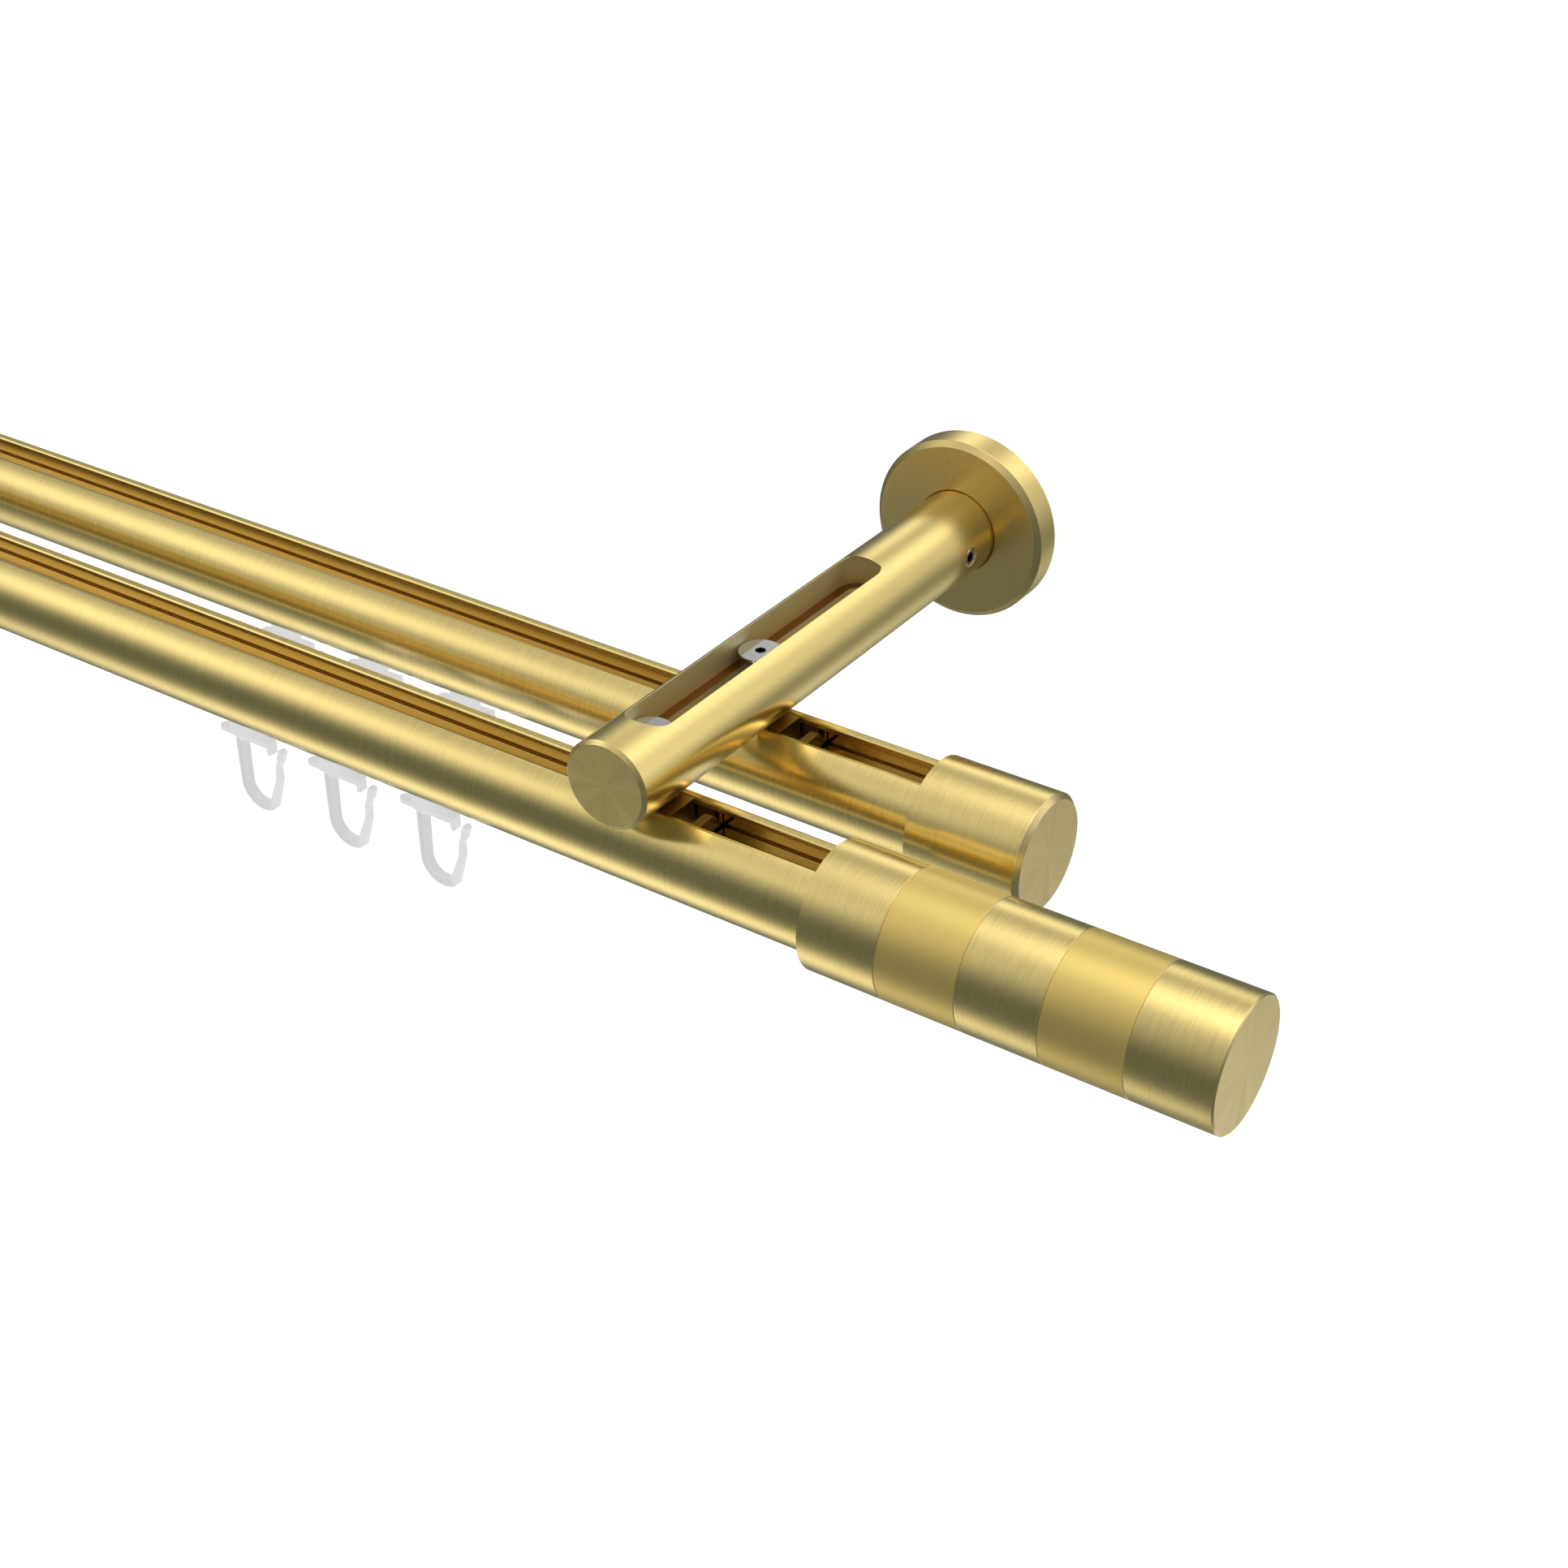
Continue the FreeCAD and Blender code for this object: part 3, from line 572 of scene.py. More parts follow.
def plastic_finish(name, rgb):
    """Milky moulded plastic with a painted glow that stands in for light scattered through it. The
    glow is greyer in its corners, as painted shade, and whiter above one height and past one place
    along the hook, as painted light.
    """

    def make(maker):
        cloud = maker.noise(maker.place(), 260.0)
        fine = maker.noise(maker.place(), 2600.0)
        # Painted shade: ambient occlusion greys the glow in corners.
        ao_for_painted_shade = maker.take(
            "ShaderNodeAmbientOcclusion", {"samples": 16}, {"Distance": PAINTED_SHADE_REACH}, output="AO")
        x, _, z = maker.parts(maker.place())
        # Painted light: a mask that whitens the glow above one height and past one place along the
        # hook.
        thickness_or_painted_light = ((z - PAINTED_LIGHT_ABOVE_Z) * PAINTED_LIGHT_RISE_UP).at_least((x - PAINTED_LIGHT_PAST_X) * PAINTED_LIGHT_RISE_ALONG)
        glow = maker.blended(ao_for_painted_shade, PAINTED_GLOW_IN_CORNERS, PAINTED_GLOW_IN_OPEN)
        return {
            "Base Color": maker.blended(cloud, shaded(rgb, 0.93), shaded(rgb, 1.05)),
            "Roughness": (fine - 0.5) * 0.12 + 0.42,
            "Normal": maker.bumped(fine, 0.08, GRAIN_RELIEF),
            # Painted light: the plastic glows, though it is no lamp.
            "Emission Color": maker.blended(thickness_or_painted_light, glow, (1.0, 1.0, 1.0)),
            "Emission Strength": 0.60,
            "Subsurface Weight": 0.15,
            "Subsurface Radius": (1.0, 1.0, 0.95),
            "Subsurface Scale": 0.0015,
            "Specular IOR Level": 0.25,
        }

    return finished_material(name, rgb, make)


def finish(key):
    """The material of that name, made when first asked for."""
    known = bpy.data.materials.get(key)
    if known:
        return known
    settings = bpy.context.scene.rod_finishes
    if key in BRASS_FINISHES:
        colour_name, added, lay, line_strength, painted_sheen_strength = BRASS_FINISHES[key]
        return brass_finish(key, tuple(getattr(settings, colour_name)),
                            settings.brushed_roughness + added, lay, line_strength, painted_sheen_strength)
    if key in METAL_FINISHES:
        colour_name, roughness, grain = METAL_FINISHES[key]
        return metal_finish(key, tuple(getattr(settings, colour_name)), roughness, grain)
    if key == "satin_brass_round":
        return brass_finish(key, tuple(settings.satin_brass), settings.satin_roughness, "round x",
                            SATIN_LINES, metallic=SATIN_METALLIC)
    return plastic_finish(key, tuple(settings.glider_plastic))


def eased_path(corners, closed):
    """Points along straight runs, each with its outward direction and the number of its corner.

    Corners are (u, v, ease). Outward is to the right of the way the path goes."""
    path = []
    count = len(corners)
    for i, (u, v, ease) in enumerate(corners):
        here = Vector((u, v))
        before = here - Vector(corners[i - 1][:2])
        after = Vector(corners[(i + 1) % count][:2]) - here
        if not closed and i == 0:
            before = after
        if not closed and i == count - 1:
            after = before
        before.normalize()
        after.normalize()
        start_out = Vector((before.y, -before.x))
        end_out = Vector((after.y, -after.x))
        turn = math.atan2(before.cross(after), before.dot(after))
        if ease == 0 or abs(turn) < TINY:
            if abs(turn) < SMOOTH_TURN:
                path.append((here, (start_out + end_out).normalized(), i))
            else:
                path += [(here, start_out, i), (here, end_out, i)]
            continue
        side = math.copysign(1, turn)
        centre = here - before * (ease * math.tan(abs(turn) / 2)) - start_out * (ease * side)
        step = FINE_STEP * 3 if ease > BROAD_EASE else ARC_STEP
        steps = max(3, math.ceil(abs(turn) / step))
        for k in range(steps + 1):
            angle = turn * k / steps
            cos, sin = math.cos(angle), math.sin(angle)
            out = Vector((start_out.x * cos - start_out.y * sin,
                          start_out.x * sin + start_out.y * cos))
            path.append((centre + out * (ease * side), out, i))
    return path


class Skin:
    """Points, their outward directions and the faces between them, gathered into one mesh."""

    def __init__(self):
        self.points = []
        self.outward = []
        self.faces = []
        self.marks = []

    def row(self, points, outward):
        """Adds points and returns their numbers."""
        first = len(self.points)
        self.points += points
        self.outward += outward
        return list(range(first, len(self.points)))

    def face(self, numbers, mark=0):
        """Adds a face that looks the way its points do."""
        corners = [self.points[n] for n in numbers]
        normal = Vector()
        for i, corner in enumerate(corners):
            normal += corner.cross(corners[(i + 1) % len(corners)])
        out = Vector()
        for n in numbers:
            out += self.outward[n]
        self.faces.append(numbers if normal.dot(out) >= 0 else numbers[::-1])
        self.marks.append(mark)

    def bridge(self, row, other, closed=True, mark=0):
        """Faces between two rows of the same length."""
        count = len(row)
        for i in range(count if closed else count - 1):
            j = (i + 1) % count
            self.face([row[i], row[j], other[j], other[i]], mark)

    def lid(self, row, out, mark=0):
        """A flat face over a row, with its own points."""
        self.face(self.row([self.points[n] for n in row], [out] * len(row)), mark)

    def mesh(self, name, finishes):
        """The mesh, with the outward directions as its shading."""
        made = bpy.data.meshes.new(name)
        made.from_pydata([tuple(p) for p in self.points], [], self.faces)
        for key in finishes:
            made.materials.append(finish(key))
        for polygon, mark in zip(made.polygons, self.marks):
            polygon.material_index = mark
            polygon.use_smooth = True
        made.normals_split_custom_set_from_vertices([tuple(n) for n in self.outward])
        made.update()
        return made


def turned(skin, corners, axis, steps, face_mark=0):
    """Turns (radius, along, ease) corners about an axis. Faces across the axis get face_mark."""
    side = AXIS_Z if abs(axis.z) < 0.5 else AXIS_X
    other = axis.cross(side)
    spokes = [side * math.cos(2 * math.pi * k / steps) + other * math.sin(2 * math.pi * k / steps)
              for k in range(steps)]
    rows = []
    for point, out, _ in eased_path(corners, False):
        if point.x < TINY:
            rows.append(skin.row([axis * point.y], [axis * math.copysign(1, out.y)]))
            continue
        rows.append(skin.row(
            [axis * point.y + spoke * point.x for spoke in spokes],
            [axis * out.y + spoke * out.x for spoke in spokes]))
    for row, following in zip(rows, rows[1:]):
        lone = row if len(row) == 1 else following
        ring = following if len(row) == 1 else row
        across = abs(skin.outward[row[0]].dot(axis) + skin.outward[following[0]].dot(axis)) > 1
        mark = face_mark if across else 0
        if len(lone) == 1:
            for k in range(steps):
                skin.face([lone[0], ring[k], ring[(k + 1) % steps]], mark)
        elif (skin.points[row[0]] - skin.points[following[0]]).length > TINY:
            skin.bridge(row, following, True, mark)


def drawn_along_x(skin, corners, marks, x0, x1):
    """A closed (y, z, ease) outline drawn along X, with a lid at each end.

    Each corner's mark goes to the run that leaves it."""
    path = eased_path(corners, True)
    rows = []
    for x in (x0, x1):
        rows.append(skin.row(
            [Vector((x, point.x, point.y)) for point, _, _ in path],
            [Vector((0, out.x, out.y)) for _, out, _ in path]))
    near, far = rows
    for k, (_, _, corner) in enumerate(path):
        j = (k + 1) % len(path)
        skin.face([near[k], near[j], far[j], far[k]], marks[corner])
    skin.lid(near, -AXIS_X)
    skin.lid(far, AXIS_X)


def hex_recess(skin, ring_radius, sizes, top, axis):
    """The flat between a ring and a hexagon, and the hexagon's walls and floor."""
    side = AXIS_Z if abs(axis.z) < 0.5 else AXIS_X
    other = axis.cross(side)
    circle = []
    hexagon = []
    inward = []
    for k in range(SMALL_ROUND_STEPS):
        angle = 2 * math.pi * k / SMALL_ROUND_STEPS
        spoke = side * math.cos(angle) + other * math.sin(angle)
        sector = math.radians(30) + math.radians(60) * math.floor(angle / math.radians(60))
        reach = sizes.hex_size / 2 / math.cos(angle - sector)
        circle.append(axis * top + spoke * ring_radius)
        hexagon.append(axis * top + spoke * reach)
        inward.append(-(side * math.cos(sector) + other * math.sin(sector)))
    rim = skin.row(circle, [axis] * SMALL_ROUND_STEPS)
    edge = skin.row(hexagon, [axis] * SMALL_ROUND_STEPS)
    skin.bridge(rim, edge)
    upper = skin.row(hexagon, inward)
    lower = skin.row([p - axis * sizes.hex_depth for p in hexagon], inward)
    # The hexagon's walls and floor take mark 1, the near-black painted shade.
    skin.bridge(upper, lower, True, 1)
    skin.lid(lower, axis, 1)


def swept_bar(skin, corners, widths, depth_at, ease, groove=(0.0, 0.0), end_ease=0.0):
    """A bar of width by depth along (x, z, bend) corners. A groove may run down its front."""
    path = eased_path(corners, False)
    stations = [(point, out, widths[corner], 0.0) for point, out, corner in path]
    if end_ease:
        ahead = Vector((-stations[-1][1].y, stations[-1][1].x))
        last = stations.pop()
        for k in range(END_STEPS + 1):
            angle = math.pi / 2 * k / END_STEPS
            back = end_ease * (1 - math.sin(angle))
            inset = end_ease * (1 - math.cos(angle))
            stations.append((last[0] - ahead * back, last[1], last[2] - 2 * inset, inset))
    rows = []
    for point, side, width, inset in stations:
        half_w = width / 2
        half_d = depth_at(point.x) / 2 - inset
        edge = max(LEAST_EASE, min(ease, half_w * 0.9, half_d * 0.9))
        section = [(half_w, -half_d, edge), (half_w, half_d, edge), (-half_w, half_d, edge),
                   (-half_w, -half_d, edge)]
        if groove[0]:
            half_g = groove[0] / 2
            small = groove[1] / 4
            section += [(-half_g, -half_d, small), (-half_g, groove[1] - half_d, small),
                        (half_g, groove[1] - half_d, small), (half_g, -half_d, small)]
        outline = eased_path(section, True)
        rows.append(skin.row(
            [Vector((point.x + side.x * p.x, p.y, point.y + side.y * p.x)) for p, _, _ in outline],
            [Vector((side.x * out.x, out.y, side.y * out.x)) for _, out, _ in outline]))
    for row, following in zip(rows, rows[1:]):
        skin.bridge(row, following)
    first_side, last_side = stations[0][1], stations[-1][1]
    skin.lid(rows[0], Vector((first_side.y, 0, -first_side.x)))
    skin.lid(rows[-1], Vector((-last_side.y, 0, last_side.x)))


def put(name, mesh, place, body, nodes, turned_round=False):
    """Places a mesh as a piece that rides on a body and stands for CAD nodes."""
    piece = bpy.data.objects.new(name, mesh)
    bpy.context.scene.collection.objects.link(piece)
    piece.location = place
    if turned_round:
        piece.rotation_euler = (0, 0, math.pi)
    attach(piece, body)
    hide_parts(*nodes)
    return piece


def brackets(layout):
    """The name and the place along X of each bracket."""
    return ("right", 0), ("left", -layout.bracket_spacing)


def rod_outline(sizes):
    """The rod's section as a closed outline of (y, z, ease) corners, with 1 for what is inside."""
    radius = sizes.radius
    rim_angle = math.acos(sizes.lip_land_half / radius)
    foot_angle = -math.acos(sizes.track_slot_half / radius)
    around = math.ceil((rim_angle - foot_angle) / FINE_STEP)
    floor_half = sizes.channel_half - sizes.gutter_width
    gutter_z = sizes.channel_floor_z - sizes.gutter_depth
    right = [(radius * math.cos(foot_angle), radius * math.sin(foot_angle), ROUNDED)]
    for k in range(2, around + 1):
        angle = foot_angle + (rim_angle - foot_angle) * k / around
        ease = EASED if k == around else 0
        right.append((radius * math.cos(angle), radius * math.sin(angle), ease))
    right += [(sizes.lip_half_gap + sizes.lip_edge, sizes.lip_land_z, CRISP),
              (sizes.lip_half_gap, sizes.lip_land_z - sizes.lip_edge, CRISP)]
    outside = len(right)
    right += [
        (sizes.lip_half_gap, sizes.lip_under_z, BROKEN),
        (sizes.channel_half, sizes.lip_under_z, EASED),
        (sizes.channel_half, gutter_z, sizes.channel_corner),
        (floor_half, gutter_z, SHARP),
        (floor_half, sizes.channel_floor_z, SOFT),
    ]
    track = [
        (sizes.track_half, sizes.track_roof_z, sizes.track_corner),
        (sizes.track_half, sizes.track_shoulder_z, EASED),
        (sizes.track_lip_half, sizes.track_lip_z, EASED),
        (sizes.track_slot_half, sizes.track_lip_z, EASED),
    ]
    left = [(-y, z, ease) for y, z, ease in right[::-1]]
    inside = len(right) - outside
    marks = [0] * outside + [1] * (2 * inside - 1) + [0] * outside + [1] * (2 * len(track) + 1)
    return right + left + [(-y, z, ease) for y, z, ease in track[::-1]] + track, marks


class BuildRods(bpy.types.Operator):
    """Draws both rods through the same section"""

    bl_idname = "curtain_rod.rods"
    bl_label = "Rods"

    def execute(self, context):
        scene = context.scene
        layout, ends = scene.rod_layout, scene.rod_ends
        outline, marks = rod_outline(scene.rod_section)
        runs = (("front_rod", layout.front_run_y, ends.rod_in_finial),
                ("rear_rod", layout.rear_run_y, ends.rod_in_cap))
        for name, run_y, insert in runs:
            right = ends.finial_x + insert
            skin = Skin()
            drawn_along_x(skin, outline, marks, -layout.bracket_spacing - right, right)
            mesh = skin.mesh(name + "_mesh", ["brushed_brass_round", "channel_brass_painted_shade"])
            put(name + "_drawn", mesh, (0, run_y, layout.rod_z), "rail", [name])
        return {"FINISHED"}


def arm_side(skin, sizes, layout, side):
    """One half of an arm's slotted surface, with the slot's walls and ledge."""
    radius, edge = sizes.arm_radius, sizes.slot_edge
    front = layout.front_run_y
    rear = layout.rear_run_y + sizes.slot_behind
    nose_y = front - sizes.arm_nose + sizes.arm_edge
    wide, narrow = sizes.slot_wide / 2, sizes.slot_narrow / 2
    # None is the round end at the nose, and the others are points round the slot
    stations = [None]
    for centre, first, last in ((front, 0, 90), (rear, 90, 180)):
        for k in range(SLOT_TURN_STEPS + 1):
            angle = math.radians(first + (last - first) * k / SLOT_TURN_STEPS)
            stations.append((math.sin(angle), centre, -math.cos(angle)))
    outer_rows, rim_rows, ledge_rows, neck_rows = [], [], [], []
    for station in stations:
        if station is None:
            top_angle, low_angle, top_y, low_y = 0.0, math.pi, nose_y, nose_y
        else:
            across, centre, ahead = station
            top_angle = math.asin((wide + edge) * across / radius)
            low_angle = math.pi - math.asin(narrow * across / radius)
            top_y = centre + (wide + edge) * ahead
            low_y = centre + narrow * ahead
        points, outward = [], []
        for k in range(ARM_HALF_STEPS + 1):
            t = k / ARM_HALF_STEPS
            angle = top_angle * (1 - t) + low_angle * t
            y = top_y * (1 - t) + low_y * t
            out = Vector((side * math.sin(angle), 0, math.cos(angle)))
            points.append(out * radius + Vector((0, y, 0)))
            outward.append(out)
        outer_rows.append(skin.row(points, outward))
        if station is None:
            continue
        inward = Vector((-side * across, -ahead, 0)).normalized()
        wall = Vector((side * wide * across, centre + wide * ahead, 0))
        neck = Vector((side * narrow * across, centre + narrow * ahead, 0))
        rim = wall + Vector((0, 0, math.sqrt(radius**2 - (wide * across) ** 2) - edge))
        middle_out = (outward[0] + inward).normalized()
        middle = (points[0] + rim) / 2 + middle_out * edge * 0.2
        ledge = Vector((0, 0, sizes.slot_ledge_z))
        foot = Vector((0, 0, -math.sqrt(radius**2 - (narrow * across) ** 2)))
        rim_rows.append((outer_rows[-1][0], skin.row([middle, rim], [middle_out, inward]),
                         skin.row([rim, wall + ledge], [inward] * 2)))
        ledge_rows.append(skin.row([wall + ledge, neck + ledge], [AXIS_Z] * 2))
        neck_rows.append(skin.row([neck + ledge, neck + foot], [inward] * 2))
    for row, following in zip(outer_rows, outer_rows[1:]):
        skin.bridge(row, following, False)
    for (top, rim, wall), (top2, rim2, wall2) in zip(rim_rows, rim_rows[1:]):
        skin.bridge([top, *rim], [top2, *rim2], False, 1)
        skin.bridge(wall, wall2, False, 1)
    for rows, mark in ((ledge_rows, 3), (neck_rows, 1)):
        for row, following in zip(rows, rows[1:]):
            skin.bridge(row, following, False, mark)


def arm_rear(skin, sizes, layout):
    """The plain part of an arm behind its slot, with the hole for the set screw."""
    radius = sizes.arm_radius
    hole = sizes.set_screw_hole
    centre_y = sizes.set_screw_y
    front = layout.rear_run_y + sizes.slot_behind + sizes.slot_narrow / 2
    # A square patch of cells round the hole is left out and filled with rings
    square = hole * 1.5
    cells = 12
    first_cell = 3
    columns = 144
    middle = columns // 4
    reach = cells // 2
    ys = [front, front * 0.6 + (centre_y - square) * 0.4, centre_y - square * 1.2]
    ys += [centre_y + square * (2 * k / cells - 1) for k in range(cells + 1)]
    ys += [centre_y + square * 1.3, -sizes.plate_thickness]
    spokes = [Vector((math.sin(2 * math.pi * k / columns), 0, math.cos(2 * math.pi * k / columns)))
              for k in range(columns)]
    rows = [skin.row([out * radius + Vector((0, y, 0)) for out in spokes], spokes) for y in ys]
    for i, (row, following) in enumerate(zip(rows, rows[1:])):
        for k in range(columns):
            j = (k + 1) % columns
            if first_cell <= i < first_cell + cells and middle - reach <= k < middle + reach:
                continue
            skin.face([row[k], row[j], following[j], following[k]])
    low, high = middle - reach, middle + reach
    last_cell = first_cell + cells
    border = [rows[first_cell][k] for k in range(low, high)]
    border += [rows[first_cell + i][high] for i in range(cells)]
    border += [rows[last_cell][k] for k in range(high, low, -1)]
    border += [rows[last_cell - i][low] for i in range(cells)]
    inner, directions = [], []
    for n in border:
        point = skin.points[n]
        angle = math.atan2(point.z, point.y - centre_y)
        y, z = centre_y + hole * math.cos(angle), hole * math.sin(angle)
        directions.append(Vector((0, -math.cos(angle), -math.sin(angle))))
        out = Vector((math.sqrt(radius**2 - z**2), 0, z)) / radius
        inner.append(out * radius + Vector((0, y, 0)))
    previous = border
    for share_in in (0.4, 0.75, 1.0):
        points, outward = [], []
        for n, edge_point in zip(border, inner):
            mixed = skin.points[n].lerp(edge_point, share_in)
            out = Vector((math.sqrt(radius**2 - mixed.z**2), 0, mixed.z)) / radius
            points.append(out * radius + Vector((0, mixed.y, 0)))
            outward.append(out)
        ring = skin.row(points, outward)
        skin.bridge(previous, ring)
        previous = ring
    mouth = skin.row(inner, directions)
    deep = skin.row([Vector((radius - SET_SCREW_WELL, p.y, p.z)) for p in inner], directions)
    skin.bridge(mouth, deep, True, 1)


class BuildArms(bpy.types.Operator):
    """Turns both arms, with the stepped slot for the clamp screws"""

    bl_idname = "curtain_rod.arms"
    bl_label = "Arms"

    def execute(self, context):
        sizes, layout = context.scene.rod_brackets, context.scene.rod_layout
        skin = Skin()
        for side in (1, -1):
            arm_side(skin, sizes, layout, side)
        arm_rear(skin, sizes, layout)
        nose_y = layout.front_run_y - sizes.arm_nose
        turned(skin, [(sizes.arm_radius, -nose_y - sizes.arm_edge - LAP, 0),
                      (sizes.arm_radius, -nose_y - sizes.arm_edge, CRISP),
                      (sizes.arm_radius - sizes.arm_edge, -nose_y, SOFT),
                      (0, -nose_y, 0)], -AXIS_Y, ROUND_STEPS, 2)
        turned(skin, [(0, sizes.plate_thickness, 0), (sizes.arm_radius, sizes.plate_thickness, 0)],
               -AXIS_Y, SMALL_ROUND_STEPS, 2)
        mesh = skin.mesh("arm_mesh", ["brushed_brass_arm", "slot_brass", "arm_end_brass",
                                      "ledge_painted_shade"])
        for side, x in brackets(layout):
            put(side + "_arm_turned", mesh, (x, 0, 0), "rail", [side + "_arm"])
        return {"FINISHED"}


class BuildRosettes(bpy.types.Operator):
    """Turns the rosettes that hide the wall plates, and finishes the plates"""

    bl_idname = "curtain_rod.rosettes"
    bl_label = "Rosettes and wall plates"

    def execute(self, context):
        sizes, layout = context.scene.rod_brackets, context.scene.rod_layout
        thickness_or_painted_light, radius = sizes.rosette_thickness, sizes.rosette_radius
        bore = sizes.arm_radius + FIT
        back = sizes.plate_thickness + PLATE_GAP
        skin = Skin()
        turned(skin, [
            (radius - ROSETTE_WALL, 0, 0), (radius, 0, EASED),
            (radius, thickness_or_painted_light - sizes.rosette_edge, EASED),
            (radius - sizes.rosette_edge, thickness_or_painted_light, EASED),
            (bore + sizes.rosette_bore_edge, thickness_or_painted_light, CRISP),
            (bore, thickness_or_painted_light - sizes.rosette_bore_edge, CRISP),
            (bore, back, 0), (radius - ROSETTE_WALL, back, 0),
            (radius - ROSETTE_WALL, 0, 0)], -AXIS_Y, ROUND_STEPS, 1)
        mesh = skin.mesh("rosette_mesh", ["rosette_rim_brass", "rosette_face_brass"])
        for side, x in brackets(layout):
            put(side + "_rosette_turned", mesh, (x, 0, 0), "rail", ["wall_rosettes"])
        dress_node("wall_plates", "zinc_plate")
        return {"FINISHED"}


def dress_node(name, key):
    """Gives a CAD node its finish and eases its edges."""
    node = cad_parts[name]
    node.data.materials.clear()
    node.data.materials.append(finish(key))
    easing = node.modifiers.new("eased edges", "BEVEL")
    easing.width = ROUNDED
    easing.segments = 2
    easing.limit_method = "ANGLE"
    easing.angle_limit = math.radians(35)
    easing.harden_normals = True


class BuildScrews(bpy.types.Operator):
    """Turns the set screws and the countersunk clamp screws, with their hexagons"""

    bl_idname = "curtain_rod.screws"
    bl_label = "Screws"

    def execute(self, context):
        sizes, layout = context.scene.rod_brackets, context.scene.rod_layout
        top = sizes.arm_radius - sizes.set_screw_sunk
        radius = sizes.set_screw_hole - FIT
        ring = sizes.hex_size * HEX_RIM_SHARE
        skin = Skin()
        turned(skin, [(0, SET_SCREW_INNER, 0), (radius, SET_SCREW_INNER, 0),
                      (radius, top - sizes.set_screw_edge, EASED),
                      (radius - sizes.set_screw_edge, top, EASED), (ring, top, 0)],
               AXIS_X, SMALL_ROUND_STEPS)
        hex_recess(skin, ring, sizes, top, AXIS_X)
        mesh = skin.mesh("set_screw_mesh", ["bright_chrome", "recess_painted_shade"])
        for side, x in brackets(layout):
            put(side + "_set_screw", mesh, (x, sizes.set_screw_y, 0), "rail", ["arm_set_screws"])
        top = sizes.clamp_top_z
        rim = top - sizes.clamp_rim
        seat = sizes.slot_narrow / 2 - SEAT_FIT
        slope = (rim - sizes.slot_ledge_z) / (sizes.clamp_head - seat)
        cone_end = rim - (sizes.clamp_head - sizes.clamp_shank) * slope
        skin = Skin()
        turned(skin, [(0, top - sizes.clamp_length, 0),
                      (sizes.clamp_shank, top - sizes.clamp_length, EASED),
                      (sizes.clamp_shank, cone_end, EASED), (sizes.clamp_head, rim, BROKEN),
                      (sizes.clamp_head, top, SOFT), (ring, top, 0)], AXIS_Z, SMALL_ROUND_STEPS)
        hex_recess(skin, ring, sizes, top, AXIS_Z)
        mesh = skin.mesh("clamp_screw_mesh", ["turned_steel", "recess_painted_shade"])
        for run, run_y in (("front", layout.front_run_y), ("rear", layout.rear_run_y)):
            for side, x in brackets(layout):
                put(f"{side}_{run}_clamp_screw", mesh, (x, run_y, 0), "rail", ["clamp_screws"])
                dress_node(f"{side}_{run}_slot_nut", "milled_brass_painted_shade")
        return {"FINISHED"}


class BuildFinials(bpy.types.Operator):
    """Turns the five bands of each finial and the caps of the rear rod"""

    bl_idname = "curtain_rod.finials"
    bl_label = "Finials and caps"

    def execute(self, context):
        sizes, layout = context.scene.rod_ends, context.scene.rod_layout
        radius, seam = sizes.finial_radius, sizes.seam_edge
        start, bore = sizes.finial_x, sizes.band_bore
        floor_x = start + sizes.socket_depth
        nodes = ("finial_sockets", "finial_inner_rings", "finial_spacers", "finial_outer_rings",
                 "finial_ends")
        for number, node in enumerate(nodes):
            x0 = start + number * sizes.band_length
            x1 = x0 + sizes.band_length
            satin = number in (1, 3)
            seam_side = [(radius, x1 - seam, CRISP), (radius - seam, x1, CRISP), (bore, x1, 0)]
            if node == "finial_sockets":
                corners = [(bore, x1, 0), (bore, floor_x, 0), (sizes.socket_radius, floor_x, 0),
                           (sizes.socket_radius, x0, CRISP), (radius, x0, CRISP)] + seam_side
            elif node == "finial_ends":
                corners = [(0, floor_x, 0), (bore - FIT, floor_x, EASED), (bore - FIT, x0, 0),
                           (radius, x0, SHARP), (radius, x1 - sizes.finial_edge, EASED),
                           (radius - sizes.finial_edge, x1, EASED), (0, x1, 0)]
            else:
                corners = [(bore, x1, 0), (bore, x0, 0), (radius, x0, SHARP)] + seam_side
            skin = Skin()
            turned(skin, corners, AXIS_X, ROUND_STEPS, 1)
            rim = "satin_brass_round" if satin else "brushed_brass_round"
            mesh = skin.mesh(node + "_mesh", [rim, "finial_end_brass"])
            for side, x in brackets(layout):
                put(f"{side}_{node}", mesh, (x, layout.front_run_y, layout.rod_z), "rail", [node],
                    side == "left")
        x1 = start + sizes.cap_length
        floor_x = start + sizes.cap_depth
        skin = Skin()
        turned(skin, [(0, floor_x, 0), (sizes.socket_radius, floor_x, 0),
                      (sizes.socket_radius, start, CRISP), (sizes.cap_radius, start, CRISP),
                      (sizes.cap_radius, x1 - sizes.cap_edge, EASED),
                      (sizes.cap_radius - sizes.cap_edge, x1, EASED), (0, x1, 0)],
               AXIS_X, ROUND_STEPS, 1)
        mesh = skin.mesh("cap_mesh", ["brushed_brass_round", "finial_end_brass"])
        for side, x in brackets(layout):
            put(side + "_cap_turned", mesh, (x, layout.rear_run_y, layout.rod_z), "rail",
                ["rear_end_caps"], side == "left")
        return {"FINISHED"}


